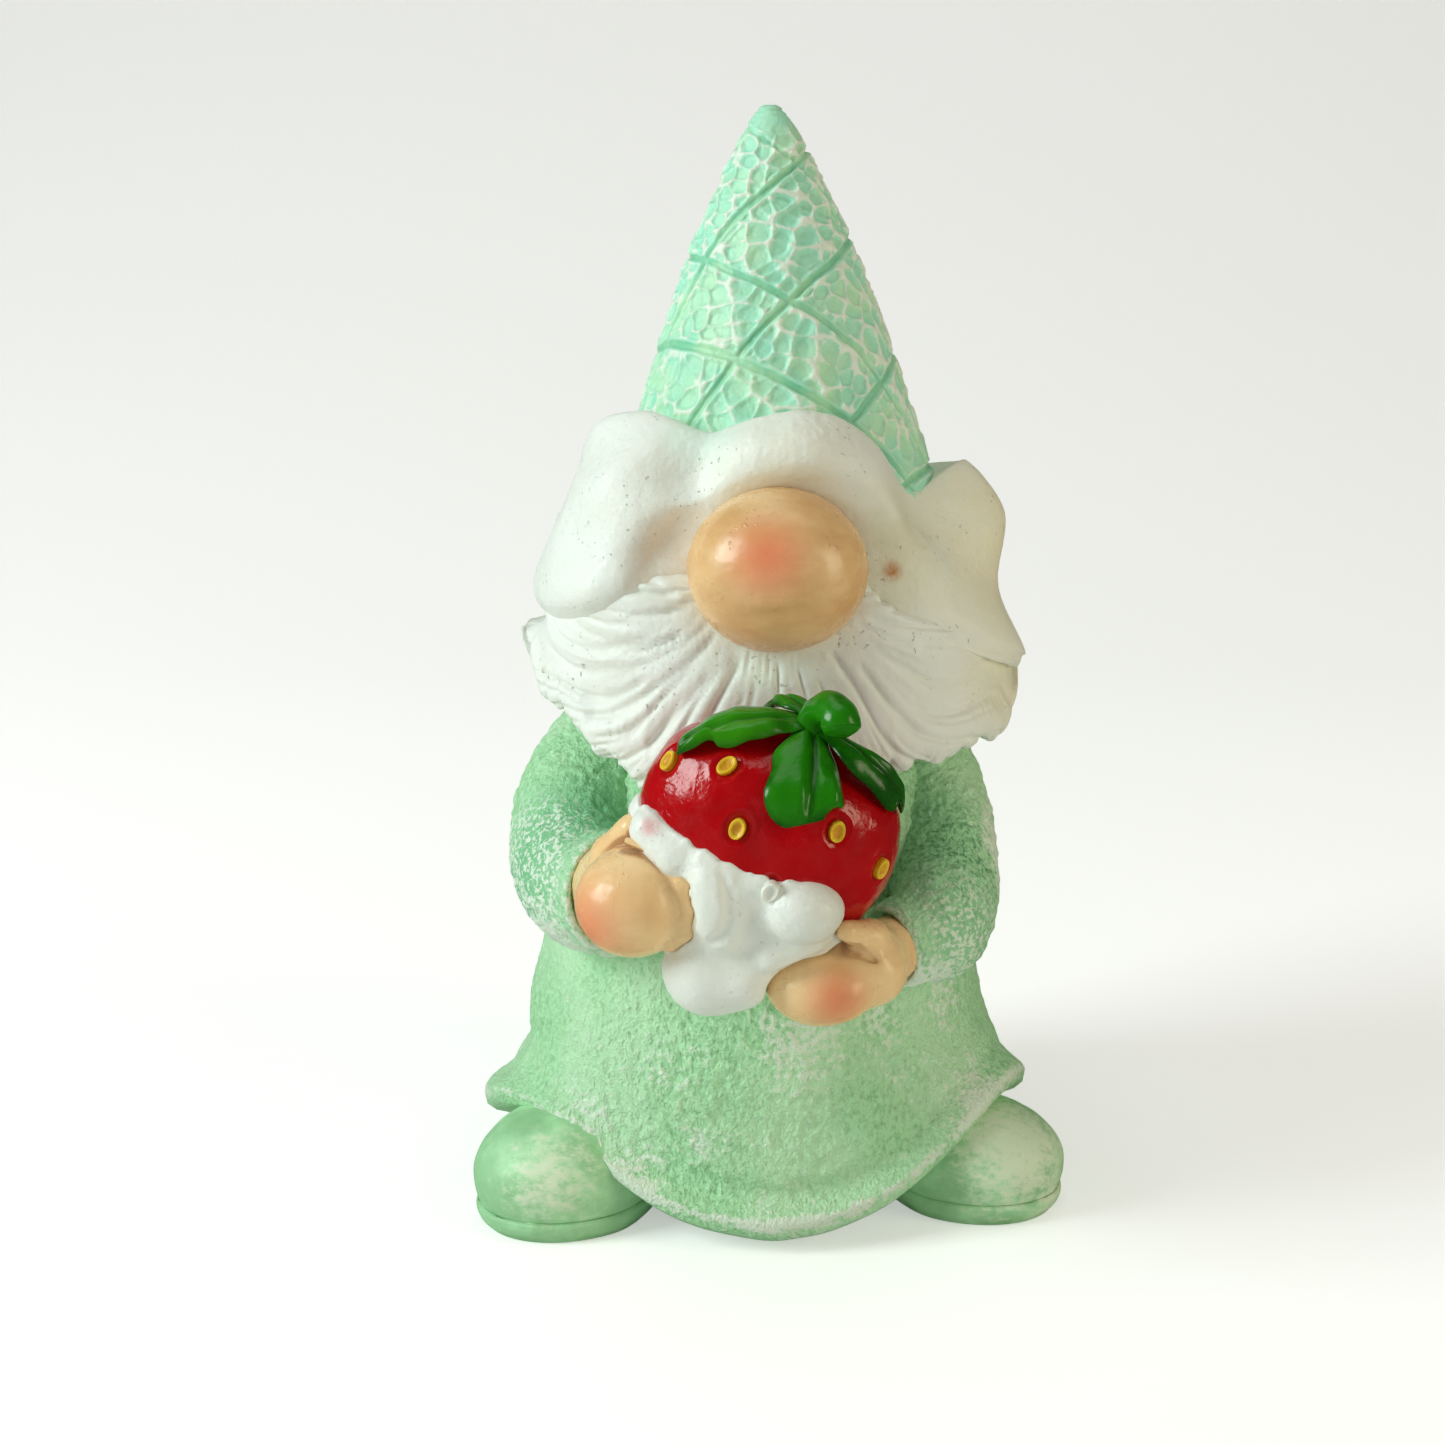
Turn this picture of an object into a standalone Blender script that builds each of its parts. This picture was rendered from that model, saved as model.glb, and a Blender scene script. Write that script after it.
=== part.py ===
"""Tomte gnome figurine holding a cream-dipped strawberry, as the separate sculpted pieces of a painted resin figure.

Metres, +Z up. The gnome faces -Y, and its own right hand is at -X. The origin is on the ground under the head.
Lengths below are in millimetres and become metres where a mesh is made. Angles round the body are in degrees,
0 at the front (-Y) and positive towards +X.
"""

import math

import bmesh
import bpy
from mathutils import Matrix, Vector

MM = 0.001

# Driving dimensions, in millimetres
HEIGHT = 130.0
GLUE_LINE = 0.3
HAT_BASE_Z = 85.5
HAT_WALL = 2.6
HAT_SHIFT = 0.9  # the hat's base centre lies this far to +X of its tip
HEAD_RADIUS = 17.0
NOSE_CENTRE = (0.8, -24.5, 80.2)
NOSE_RADII = (10.0, 9.0, 9.1)
NOSE_PEG_RADIUS = 3.0
NOSE_PEG_LENGTH = 15.0
NECK_RADIUS = 8.0
ROBE_TOP_Z = 62.0
HEM_HALF_WIDTH = 34.0
HEM_FRONT = 29.5
HEM_BACK = 27.0
HEM_LIP = 2.4
CAVITY_HALF_WIDTH = 12.5
CAVITY_HALF_DEPTH = 12.0
CAVITY_BACK = 4.0  # the hollow and its plate sit this far behind the middle, clear of the shoes
CAVITY_TOP_Z = 34.0
BASE_PLATE_THICKNESS = 2.4
BASE_LEDGE = 2.5
VENT_RADIUS = 2.5
SOLE_THICKNESS = 2.6
BERRY_LENGTH = 31.0
BERRY_RADIUS = 14.2
BERRY_DEPTH_SHARE = 0.68
BERRY_TILT = 21.0  # degrees, the calyx leaning to +X
BERRY_TOP = (4.0, -33.5, 64.5)
CREAM_THICKNESS = 1.5
CREAM_LINE = 15.2  # depth of the dip's edge down the fruit
CREAM_SLOPE = 5.0

MINT = ("mint_paint", (0.27, 0.55, 0.36), 0.75)
CREAM = ("cream_paint", (0.80, 0.82, 0.76), 0.5)
SKIN = ("skin_paint", (0.80, 0.50, 0.28), 0.4)
RED = ("strawberry_red", (0.60, 0.01, 0.015), 0.25)
GREEN = ("leaf_green", (0.04, 0.22, 0.02), 0.25)
YELLOW = ("seed_yellow", (0.75, 0.42, 0.02), 0.35)
RESIN = ("bare_resin", (0.72, 0.70, 0.66), 0.8)


# ---- curves and fields -------------------------------------------------------------------------------------


def bump(angle, centre, width, power=2):
    """1 at the centre angle, fading to 0 over the width, the same all the way round. Degrees."""
    away = abs((angle - centre + 180) % 360 - 180)
    return math.exp(-((away / width) ** power))


def spline(points, t, closed=False):
    """The point at t, 0 to 1, on a smooth curve through points, which are tuples of any length."""
    spans = len(points) if closed else len(points) - 1
    place = (t % 1.0) * spans if closed else min(t * spans, spans - 1e-9)
    first = int(place)
    f = place - first

    def at(k):
        return points[k % len(points)] if closed else points[max(0, min(spans, k))]

    corners = zip(at(first - 1), at(first), at(first + 1), at(first + 2))
    return tuple(
        0.5 * (2 * b + (c - a) * f + (2 * a - 5 * b + 4 * c - d) * f**2 + (3 * b - a - 3 * c + d) * f**3)
        for a, b, c, d in corners
    )


def polar(angle, radius, z):
    """A point at an angle round the body."""
    turn = math.radians(angle)
    return Vector((radius * math.sin(turn), -radius * math.cos(turn), z))


def oval(angle, half_width, front, back):
    """Radius at an angle of an oval whose front and back halves differ."""
    turn = math.radians(angle)
    depth = front if math.cos(turn) > 0 else back
    return 1.0 / math.hypot(math.sin(turn) / half_width, math.cos(turn) / depth)


# ---- making objects ----------------------------------------------------------------------------------------

parts = None
cutters = None
seats = {}


def clear_scene():
    for obj in list(bpy.data.objects):
        bpy.data.objects.remove(obj)


def new_collection(name):
    made = bpy.data.collections.new(name)
    bpy.context.scene.collection.children.link(made)
    return made


def painted(paint):
    """The Principled material of a paint, made once."""
    name, colour, roughness = paint
    found = bpy.data.materials.get(name)
    if found:
        return found
    made = bpy.data.materials.new(name)
    made.use_nodes = True
    shader = made.node_tree.nodes["Principled BSDF"]
    shader.inputs["Base Color"].default_value = (*colour, 1.0)
    shader.inputs["Roughness"].default_value = roughness
    shader.inputs["Metallic"].default_value = 0.0
    return made


def placed(location, turn=0.0, axis="Z"):
    """The matrix that turns a shape by an angle in degrees and then moves it to a location."""
    return Matrix.Translation(location) @ Matrix.Rotation(math.radians(turn), 4, axis)


def add_part(name, bm, paint, place=Matrix()):
    """Makes a named object from a bmesh in millimetres, with a hidden copy one glue line larger all round."""
    bmesh.ops.scale(bm, vec=(MM, MM, MM), verts=bm.verts)
    bmesh.ops.recalc_face_normals(bm, faces=bm.faces)
    mesh = bpy.data.meshes.new(name)
    bm.to_mesh(mesh)
    bm.free()
    mesh.shade_smooth()
    mesh.materials.append(painted(paint))
    part = bpy.data.objects.new(name, mesh)
    parts.objects.link(part)
    seat = bpy.data.objects.new(name + "_seat", mesh)
    cutters.objects.link(seat)
    seat.hide_render = True
    seat.display_type = "WIRE"
    swell = seat.modifiers.new("glue_line", "DISPLACE")
    swell.strength = GLUE_LINE * MM
    swell.mid_level = 0.0
    for obj in (part, seat):
        obj.matrix_world = Matrix.Translation(place.translation * MM) @ place.to_3x3().to_4x4()
    seats[name] = seat
    return part


def add_cutter(name, bm, place):
    """A hidden shape, in millimetres, that only cuts."""
    bmesh.ops.scale(bm, vec=(MM, MM, MM), verts=bm.verts)
    mesh = bpy.data.meshes.new(name)
    bm.to_mesh(mesh)
    bm.free()
    cutter = bpy.data.objects.new(name, mesh)
    cutter.matrix_world = Matrix.Translation(place.translation * MM) @ place.to_3x3().to_4x4()
    cutter.hide_render = True
    cutter.display_type = "WIRE"
    cutters.objects.link(cutter)
    seats[name] = cutter


def cut(part, *names):
    """Cuts the room that neighbouring pieces need out of a part."""
    for name in names:
        made = part.modifiers.new("room_for_" + name, "BOOLEAN")
        made.operation = "DIFFERENCE"
        made.solver = "EXACT"
        made.object = seats[name]


def spun(profile, segments):
    """A bmesh turned about Z from (radius, z) points that start and end on the axis."""
    bm = bmesh.new()
    verts = [bm.verts.new((radius, 0, z)) for radius, z in profile]
    edges = [bm.edges.new(pair) for pair in zip(verts, verts[1:])]
    bmesh.ops.spin(
        bm, geom=verts + edges, cent=(0, 0, 0), axis=(0, 0, 1), angle=2 * math.pi, steps=segments, use_merge=True
    )
    bmesh.ops.remove_doubles(bm, verts=bm.verts, dist=0.001)
    return bm


def lofted(sections):
    """A closed skin through unlike loops of points, with flat caps on the first loop and the last."""
    bm = bmesh.new()
    loops = [[bm.verts.new(point) for point in section] for section in sections]
    bm.faces.new(loops[0])
    bm.faces.new(loops[-1])
    for upper, lower in zip(loops, loops[1:]):
        for k in range(len(upper)):
            bm.faces.new((upper[k - 1], upper[k], lower[k], lower[k - 1]))
    return bm


def sphere(segments, rings):
    bm = bmesh.new()
    bmesh.ops.create_uvsphere(bm, u_segments=segments, v_segments=rings, radius=1.0)
    return bm


def limb(path, segments, rings, roundness=2.6):
    """A rounded limb along path stations of (x, y, z, width, thickness), from a sphere whose axis follows them.

    Width runs level and across the path, and thickness runs square to both."""
    bm = sphere(segments, rings)
    for vert in bm.verts:
        t = (1.0 - vert.co.z) / 2.0
        x, y, z, width, thickness = spline(path, t)
        ahead = Vector(spline(path, min(t + 0.02, 1.0))[:3])
        behind = Vector(spline(path, max(t - 0.02, 0.0))[:3])
        along = (ahead - behind).normalized()
        across = along.cross(Vector((0, 0, 1))).normalized()
        up = across.cross(along)
        ring = math.hypot(vert.co.x, vert.co.y)
        swell = (1.0 - abs(vert.co.z) ** roundness) ** (1.0 / roundness) if ring > 1e-6 else 0.0
        spread = swell / ring if ring > 1e-6 else 0.0
        offset = across * (vert.co.x * spread * width) + up * (vert.co.y * spread * thickness)
        vert.co = Vector((x, y, z)) + offset
    return bm


# ---- hat, brim, head, nose and beard -----------------------------------------------------------------------


def hat_profile():
    """(radius, z) down the outside of the cone, slightly rounded at its tip."""
    return [(0.0, HEIGHT), (1.5, 129.4), (2.6, 128.0), (3.6, 126.0), (5.4, 122.3), (9.2, 114.3), (13.2, 104.0),
            (16.3, 94.6), (19.2, HAT_BASE_Z)]


def build_hat():
    outside = hat_profile()
    inside = [(radius - HAT_WALL, z) for radius, z in reversed(outside[5:])]
    bm = spun(outside + inside + [(0.0, 121.0)], 40)
    for vert in bm.verts:
        vert.co.x += HAT_SHIFT * (HEIGHT - vert.co.z) / (HEIGHT - HAT_BASE_Z)
    return add_part("hat", bm, MINT)


def build_head_core():
    """Neck plug, head block and the spigot that carries the hat."""
    profile = [(0.0, 55.0), (NECK_RADIUS, 55.0), (NECK_RADIUS, 63.0), (13.5, 66.0), (HEAD_RADIUS, 73.0),
               (HEAD_RADIUS, 82.0), (15.0, 87.0), (13.6, 90.0), (9.2, 101.0), (0.0, 103.5)]
    return add_part("head_core", spun(profile, 32), RESIN)


def build_nose():
    """A ball, wider than it is tall, with a round peg at its back."""
    steps = 10
    front = [(math.sin(math.pi * k / 12), math.cos(math.pi * k / 12)) for k in range(steps + 1)]
    share = NOSE_PEG_RADIUS / NOSE_RADII[0]
    peg_end = -NOSE_PEG_LENGTH / NOSE_RADII[1]
    bm = spun(front + [(share, -0.95), (share, peg_end), (0.0, peg_end)], 24)
    bmesh.ops.scale(bm, vec=(NOSE_RADII[0], NOSE_RADII[2], NOSE_RADII[1]), verts=bm.verts)
    bmesh.ops.rotate(bm, cent=(0, 0, 0), matrix=Matrix.Rotation(math.radians(90), 3, "X"), verts=bm.verts)
    return add_part("nose", bm, SKIN, placed(NOSE_CENTRE))


def brim_section(angle):
    """The brim's closed outline in (radius, z) at an angle: the top roll, the drape and the lip at its edge."""
    top_z = 92 + 4.8 * bump(angle, 8, 24) + 3.6 * bump(angle, -52, 24)
    top_z -= 4.5 * bump(angle, 58, 16) + 3.3 * bump(angle, 95, 25)
    top_r = 19 + 4.2 * bump(angle, 88, 22) + 1.5 * bump(angle, -72, 25)
    edge_z = 68 + 9.5 * bump(angle, 0, 48, 4) + 3.5 * bump(angle, -75, 30) - 7 * bump(angle, 85, 24)
    edge_r = 27.2 + 2.6 * bump(angle, -52, 28) + 3.3 * bump(angle, 80, 26)
    shoulder_r = 24 + 1.6 * bump(angle, 3, 30) - 1.6 * bump(angle, -85, 22) + 3.6 * bump(angle, 85, 22)
    waist_r = 26.2 + 0.8 * bump(angle, -50, 30) + 0.6 * bump(angle, 80, 30)
    inner_r = HEAD_RADIUS - 0.5
    return [
        (inner_r, top_z - 3.0),
        (top_r, top_z),
        (shoulder_r, top_z - 4.5),
        (waist_r, (top_z + edge_z) / 2 - 1.0),
        (edge_r, edge_z + 4.0),
        (edge_r - 1.0, edge_z + 0.5),
        (edge_r - 5.0, edge_z + 0.5),
        (inner_r, edge_z + 3.0),
        (inner_r, top_z - 9.0),
    ]


def niche(point):
    """Pushes the brim back round the nose, so that the nose sits in a soft hollow."""
    x, _, z = NOSE_CENTRE
    away = math.hypot((point.x - x) / 13.5, (point.z - z) / 11.5)
    depth = 6.0 * math.exp(-(away**4))
    return point + Vector((0, min(depth, max(0.0, -14.5 - point.y)), 0))


def build_brim():
    major, minor = 48, 14
    bm = bmesh.new()
    bmesh.ops.create_circle(bm, cap_ends=False, segments=minor, radius=1.0)
    bmesh.ops.translate(bm, vec=(3, 0, 0), verts=bm.verts)
    bmesh.ops.rotate(bm, cent=(3, 0, 0), matrix=Matrix.Rotation(math.radians(90), 3, "X"), verts=bm.verts)
    bmesh.ops.spin(
        bm, geom=bm.verts[:] + bm.edges[:], cent=(0, 0, 0), axis=(0, 0, 1), angle=2 * math.pi, steps=major,
        use_merge=True,
    )
    bmesh.ops.remove_doubles(bm, verts=bm.verts, dist=0.001)
    for vert in bm.verts:
        angle = math.degrees(math.atan2(vert.co.x, -vert.co.y))
        round_section = math.atan2(vert.co.z, 3 - math.hypot(vert.co.x, vert.co.y)) / (2 * math.pi)
        radius, z = spline(brim_section(angle), round_section, closed=True)
        vert.co = niche(polar(angle, radius, z))
    return add_part("hat_brim", bm, CREAM)


def beard_section(angle):
    """The beard's closed outline in (radius, z) at an angle, tucked under the brim at its top."""
    low_z = 56.5 - 6 * bump(angle, -5, 28) + 10.5 * bump(angle, -92, 34) + 3 * bump(angle, 92, 12)
    low_r = oval(angle, 31.0, 26.5, 26.5)
    high_z = 76 - 9 * bump(angle, 90, 32) - 2 * bump(angle, -90, 20)
    inner_r = HEAD_RADIUS - 3.0
    return [
        (inner_r + 3.0, high_z),
        (low_r - 3.5, high_z - 3.0),
        (low_r - 1.0, 0.45 * high_z + 0.55 * low_z),
        (low_r, low_z + 3.5),
        (low_r - 1.5, low_z),
        (low_r - 6.5, low_z + 2.5),
        (inner_r, 0.5 * (high_z + low_z)),
    ]


def build_beard():
    """From a sphere lying along X: its axis becomes the angle round the face, its rings become the outline."""
    end_angle = 97.0
    bm = sphere(14, 24)
    for vert in bm.verts:
        share = math.asin(max(-1.0, min(1.0, vert.co.z))) / (math.pi / 2)
        angle = end_angle * share
        outline = beard_section(angle)
        middle = Vector((sum(p[0] for p in outline), sum(p[1] for p in outline))) / len(outline)
        round_section = math.atan2(vert.co.y, vert.co.x) / (2 * math.pi)
        edge = Vector(spline(outline, round_section, closed=True))
        radius, z = middle + (edge - middle) * (1.0 - abs(share) ** 8) ** 0.5
        vert.co = polar(angle, radius, z)
    return add_part("beard", bm, CREAM)


# ---- robe, base, sleeves and shoes -------------------------------------------------------------------------


def hem_z(angle):
    """How high the hem is lifted: over the two shoes, but not at the front or the back."""
    return 10.5 * bump(angle, -68, 30) + 12.0 * bump(angle, 66, 32)


def robe_radius(angle, share):
    """Radius of the robe's outside; share runs from 0 at the hem to 1 at the neck."""
    half_width = spline([(HEM_HALF_WIDTH,), (32.0,), (30.4,), (27.8,), (24.4,), (20.8,), (14.5,)], share)[0]
    front = spline([(HEM_FRONT,), (28.0,), (27.3,), (25.8,), (23.5,), (20.0,), (14.0,)], share)[0]
    back = spline([(HEM_BACK,), (25.6,), (24.6,), (23.4,), (21.8,), (19.0,), (14.0,)], share)[0]
    return oval(angle, half_width, front, back)


def robe_outside(angle, share):
    low = hem_z(angle) + HEM_LIP
    return polar(angle, robe_radius(angle, share), low + (ROBE_TOP_Z - low) * share)


def robe_hollow(angle, grow, z):
    radius = oval(angle, CAVITY_HALF_WIDTH + grow, CAVITY_HALF_DEPTH + grow, CAVITY_HALF_DEPTH + grow)
    return polar(angle, radius, z) + Vector((0, CAVITY_BACK, 0))


def build_robe():
    """A bell lofted from the neck down to the lifted hem, in under it, and up round the hollow inside."""
    angles = [360 * k / 40 for k in range(40)]
    rows = 10
    sections = [[robe_outside(angle, 1 - k / rows) for angle in angles] for k in range(rows + 1)]
    sections.append([polar(angle, robe_radius(angle, 0) - 1.4, hem_z(angle)) for angle in angles])
    ledge = [(BASE_LEDGE, 0.0), (BASE_LEDGE, BASE_PLATE_THICKNESS), (0.0, BASE_PLATE_THICKNESS)]
    belly = [(0.0, 14.0), (4.0, 20.0), (1.0, CAVITY_TOP_Z - 4.0), (-4.0, CAVITY_TOP_Z)]
    for grow, z in ledge + belly:
        sections.append([robe_hollow(angle, grow, z) for angle in angles])
    return add_part("robe", lofted(sections), MINT)


def build_base_plate():
    """Oval disc glued into the robe's underside, with a round vent hole."""
    half_width = CAVITY_HALF_WIDTH + BASE_LEDGE - GLUE_LINE
    half_depth = CAVITY_HALF_DEPTH + BASE_LEDGE - GLUE_LINE
    top = BASE_PLATE_THICKNESS - GLUE_LINE
    vent = VENT_RADIUS / half_width
    bm = spun([(vent, 0.0), (1.0, 0.0), (1.0, top), (vent, top), (vent, 0.0)], 48)
    for vert in bm.verts:
        rim = math.hypot(vert.co.x, vert.co.y) > 0.5
        vert.co.x *= half_width
        vert.co.y *= half_depth if rim else half_width
    return add_part("base_plate", bm, RESIN, placed((0, CAVITY_BACK, 0)))


def build_sleeves():
    right = [(-15, 0, 57, 6, 6), (-20.5, -3, 52, 8.6, 8.6), (-22.6, -8, 45.0, 9.2, 9.4), (-22.2, -15, 40.5, 8.8, 8.8),
             (-19.0, -23.0, 40.5, 7.6, 7.4)]
    left = [(13, 0, 56, 6, 6), (18.5, -3, 50.6, 8.6, 8.6), (20.0, -8, 43.2, 8.9, 9.4), (19.6, -15.5, 37.6, 8.6, 8.8),
            (15.4, -23.6, 35.4, 7.0, 6.9)]
    return [
        add_part(name, limb(path, 18, 16, roundness=3.2), MINT)
        for name, path in (("right_sleeve", right), ("left_sleeve", left))
    ]


def build_hands():
    """Mitten hands: a wrist that plugs into the cuff, then the rounded palm and fingers."""
    right = [(-19.5, -19.0, 40.8, 4.6, 4.6), (-17.5, -25.0, 43.5, 5.2, 5.6), (-14.8, -31.5, 45.8, 6.3, 7.0),
             (-11.5, -35.5, 46.0, 6.0, 6.6)]
    left = [(15.5, -19.0, 35.0, 4.2, 4.2), (12.5, -25.0, 35.6, 4.8, 5.0), (8.0, -32.0, 36.4, 5.2, 5.6),
            (2.5, -36.5, 35.6, 5.0, 4.8)]
    return [
        add_part(name, limb(path, 16, 14), SKIN) for name, path in (("right_hand", right), ("left_hand", left))
    ]


SHOES = {  # centre of the toe, toe direction, half-length, half-width, height of the dome
    "right": ((-23.8, -17.6), -60.0, 12.2, 9.9, 14.0),
    "left": ((24.0, -13.8), 66.0, 12.0, 9.4, 12.6),
}


def build_shoes():
    """A padded toe, flat where it meets its sole, and the sole's oval slab."""
    for side, (centre, toe_angle, half_length, half_width, dome) in SHOES.items():
        place = placed((*centre, 0), toe_angle - 90)
        upper = sphere(22, 12)
        bottom = SOLE_THICKNESS + GLUE_LINE
        for vert in upper.verts:
            fuller = 1.0 - 0.12 * vert.co.z
            vert.co.x *= half_length * fuller
            vert.co.y *= half_width * fuller
            vert.co.z = max(bottom, 6.0 + (dome - 6.0) * vert.co.z if vert.co.z > 0 else 6.0 + 6.0 * vert.co.z)
        flat = [f for f in upper.faces if all(v.co.z <= bottom + 1e-4 for v in f.verts)]
        bmesh.ops.dissolve_faces(upper, faces=flat)
        add_part(f"{side}_shoe", upper, MINT, place)
        sole = bmesh.new()
        bmesh.ops.create_cone(
            sole, cap_ends=True, segments=32, radius1=1.0, radius2=1.0, depth=SOLE_THICKNESS,
            matrix=Matrix.Translation((0, 0, SOLE_THICKNESS / 2)),
        )
        bmesh.ops.scale(sole, vec=(half_length + 0.2, half_width + 0.2, 1.0), verts=sole.verts)
        add_part(f"{side}_sole", sole, MINT, place)


# ---- strawberry ----------------------------------------------------------------------------------------------
# The fruit is modelled hanging down -Z from its calyx, and everything on it is placed by BERRY_PLACE.

BERRY_PLACE = placed(BERRY_TOP, BERRY_TILT, "Y")


def berry_radius(depth):
    """Radius of the fruit at a depth below the calyx, before it is flattened front to back."""
    share = depth / BERRY_LENGTH
    outline = [(0.35,), (0.88,), (1.0,), (0.99,), (0.92,), (0.80,), (0.60,), (0.0,)]
    return BERRY_RADIUS * spline(outline, share)[0]


def berry_point(angle, depth, proud=0.0):
    """A point on the fruit; angle 0 faces the front."""
    radius = berry_radius(depth) + proud
    turn = math.radians(angle)
    return Vector((radius * math.sin(turn), -BERRY_DEPTH_SHARE * radius * math.cos(turn), -depth))


def berry_body(proud, start):
    """The fruit's shape grown outwards by proud, from a starting depth to the tip."""
    rows = 12
    side = [(1.0, 1.0 - (k + 0.5) / rows) for k in range(rows)]
    bm = spun([(0.0, 1.0), *side, (0.0, 0.0)], 28)
    for vert in bm.verts:
        reach = math.hypot(vert.co.x, vert.co.y)
        angle = math.degrees(math.atan2(vert.co.x, -vert.co.y))
        depth = start + (BERRY_LENGTH - start) * (1.0 - vert.co.z) ** 0.9
        if reach < 0.5:
            vert.co = Vector((0, 0, -start + 0.4 if vert.co.z > 0.5 else -BERRY_LENGTH - proud))
        else:
            vert.co = berry_point(angle, depth, proud)
    return bm


def build_strawberry():
    fruit = add_part("strawberry", berry_body(0.0, 0.0), RED, BERRY_PLACE)
    cream = add_part("strawberry_cream", berry_body(CREAM_THICKNESS, 2.0), CREAM, BERRY_PLACE)
    slope = bmesh.new()
    bmesh.ops.create_cube(slope, size=2 * BERRY_LENGTH)
    above = placed((0, 0, BERRY_LENGTH - CREAM_LINE), CREAM_SLOPE, "Y")
    add_cutter("above_the_dip", slope, BERRY_PLACE @ above)
    cut(cream, "above_the_dip", "strawberry")
    return fruit, cream


SEEDS = [(-66, 7.7), (-35, 5.0), (-16, 10.4), (26, 7.2), (60, 10.4), (6, 16.8)]  # angle, depth down the fruit


def build_seeds():
    """Oval pips let halfway into the fruit, lying square to its surface."""
    for number, (angle, depth) in enumerate(SEEDS, 1):
        bm = sphere(10, 6)
        bmesh.ops.scale(bm, vec=(1.05, 0.75, 1.4), verts=bm.verts)
        proud = 0.3 if number < len(SEEDS) else 1.2
        where = berry_point(angle, depth, proud)
        add_part(f"seed_{number}", bm, YELLOW, BERRY_PLACE @ placed(where, BERRY_DEPTH_SHARE * angle))


LEAVES = {  # stations of (x, y, z, width, thickness) in the fruit's own frame
    "calyx_leaf_front": [(0, -2.4, 1.2, 1.6, 1.2), (-0.4, -6.2, 0.4, 3.6, 1.3), (-1.2, -9.6, -3.6, 4.6, 1.4),
                         (-2.6, -11.4, -9.0, 3.0, 1.2)],
    "calyx_leaf_right": [(-1.6, -0.6, 1.2, 1.5, 1.2), (-5.5, -1.0, 1.4, 3.4, 1.4), (-10.4, -1.4, -1.6, 3.2, 1.3),
                         (-14.0, -1.8, -6.0, 1.6, 1.0)],
    "calyx_leaf_left": [(2.8, -2.0, 0.8, 1.5, 1.2), (6.2, -3.6, 0.4, 3.0, 1.4), (10.4, -4.6, -2.8, 3.2, 1.4),
                        (13.6, -5.0, -7.0, 2.2, 1.1)],
    "calyx_leaf_back": [(-0.6, 2.4, 1.2, 1.5, 1.1), (-1.2, 4.0, 2.2, 2.6, 1.1), (-2.0, 5.4, 2.4, 2.6, 1.1),
                        (-2.8, 6.8, 1.2, 1.6, 1.0)],
}


def build_calyx():
    leaves = {}
    for name, path in LEAVES.items():
        leaves[name] = add_part(name, limb(path, 12, 10, roundness=2.2), GREEN, BERRY_PLACE)
    stalk = [(0.8, 0.2, -0.6, 1.5, 1.5), (0.8, 0.4, 2.2, 1.8, 1.8), (2.0, 0.2, 4.2, 2.2, 2.2),
             (4.0, -0.4, 4.0, 2.2, 2.2)]
    add_part("stem", limb(stalk, 12, 10), GREEN, BERRY_PLACE)
    return leaves


# ---- the whole figure ----------------------------------------------------------------------------------------


def main():
    global parts, cutters
    clear_scene()
    parts = new_collection("tomte_gnome_figurine")
    cutters = new_collection("cutters")
    hat = build_hat()
    build_nose()
    core, brim, beard, robe = build_head_core(), build_brim(), build_beard(), build_robe()
    build_base_plate()
    right_sleeve, left_sleeve = build_sleeves()
    right_hand, left_hand = build_hands()
    build_shoes()
    fruit, cream = build_strawberry()
    build_seeds()
    leaves = build_calyx()

    cut(hat, "nose")
    cut(core, "nose")
    cut(brim, "hat", "head_core", "nose")
    cut(beard, "head_core", "nose", "hat_brim", "robe")
    cut(robe, "head_core", "right_shoe", "left_shoe", "right_sole", "left_sole")
    cut(right_hand, "robe")
    cut(left_hand, "robe")
    cut(right_sleeve, "robe", "beard", "hat_brim", "right_hand")
    cut(left_sleeve, "robe", "beard", "hat_brim", "left_hand", "strawberry")
    cut(fruit, "stem", "robe", "beard", "right_hand", "left_hand", *[f"seed_{k}" for k in range(1, len(SEEDS) + 1)])
    cut(cream, "robe", "beard", "right_hand", "left_hand", "seed_6")
    cut(leaves["calyx_leaf_front"], "stem", "strawberry")
    cut(leaves["calyx_leaf_right"], "stem", "strawberry", "calyx_leaf_front", "beard")
    cut(leaves["calyx_leaf_left"], "stem", "strawberry", "calyx_leaf_front", "beard")
    cut(leaves["calyx_leaf_back"], "stem", "strawberry", "calyx_leaf_right", "calyx_leaf_left", "beard")


main()
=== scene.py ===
"""Hand-painted resin gnome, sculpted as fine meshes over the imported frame.

Shapes are worked out in millimetres in the frame of the CAD model: +Z up, the gnome faces -Y, its right hand
is at -X. Angles round the body are in degrees, 0 at the front and positive towards +X. Each piece is a grid
of points or the surface of a smooth field, carries a "relief" value that says how far a point stands proud,
and gets a procedural paint that reads it.
"""

import itertools
import math

import bpy
import numpy as np
from mathutils import Matrix, Vector


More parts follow.
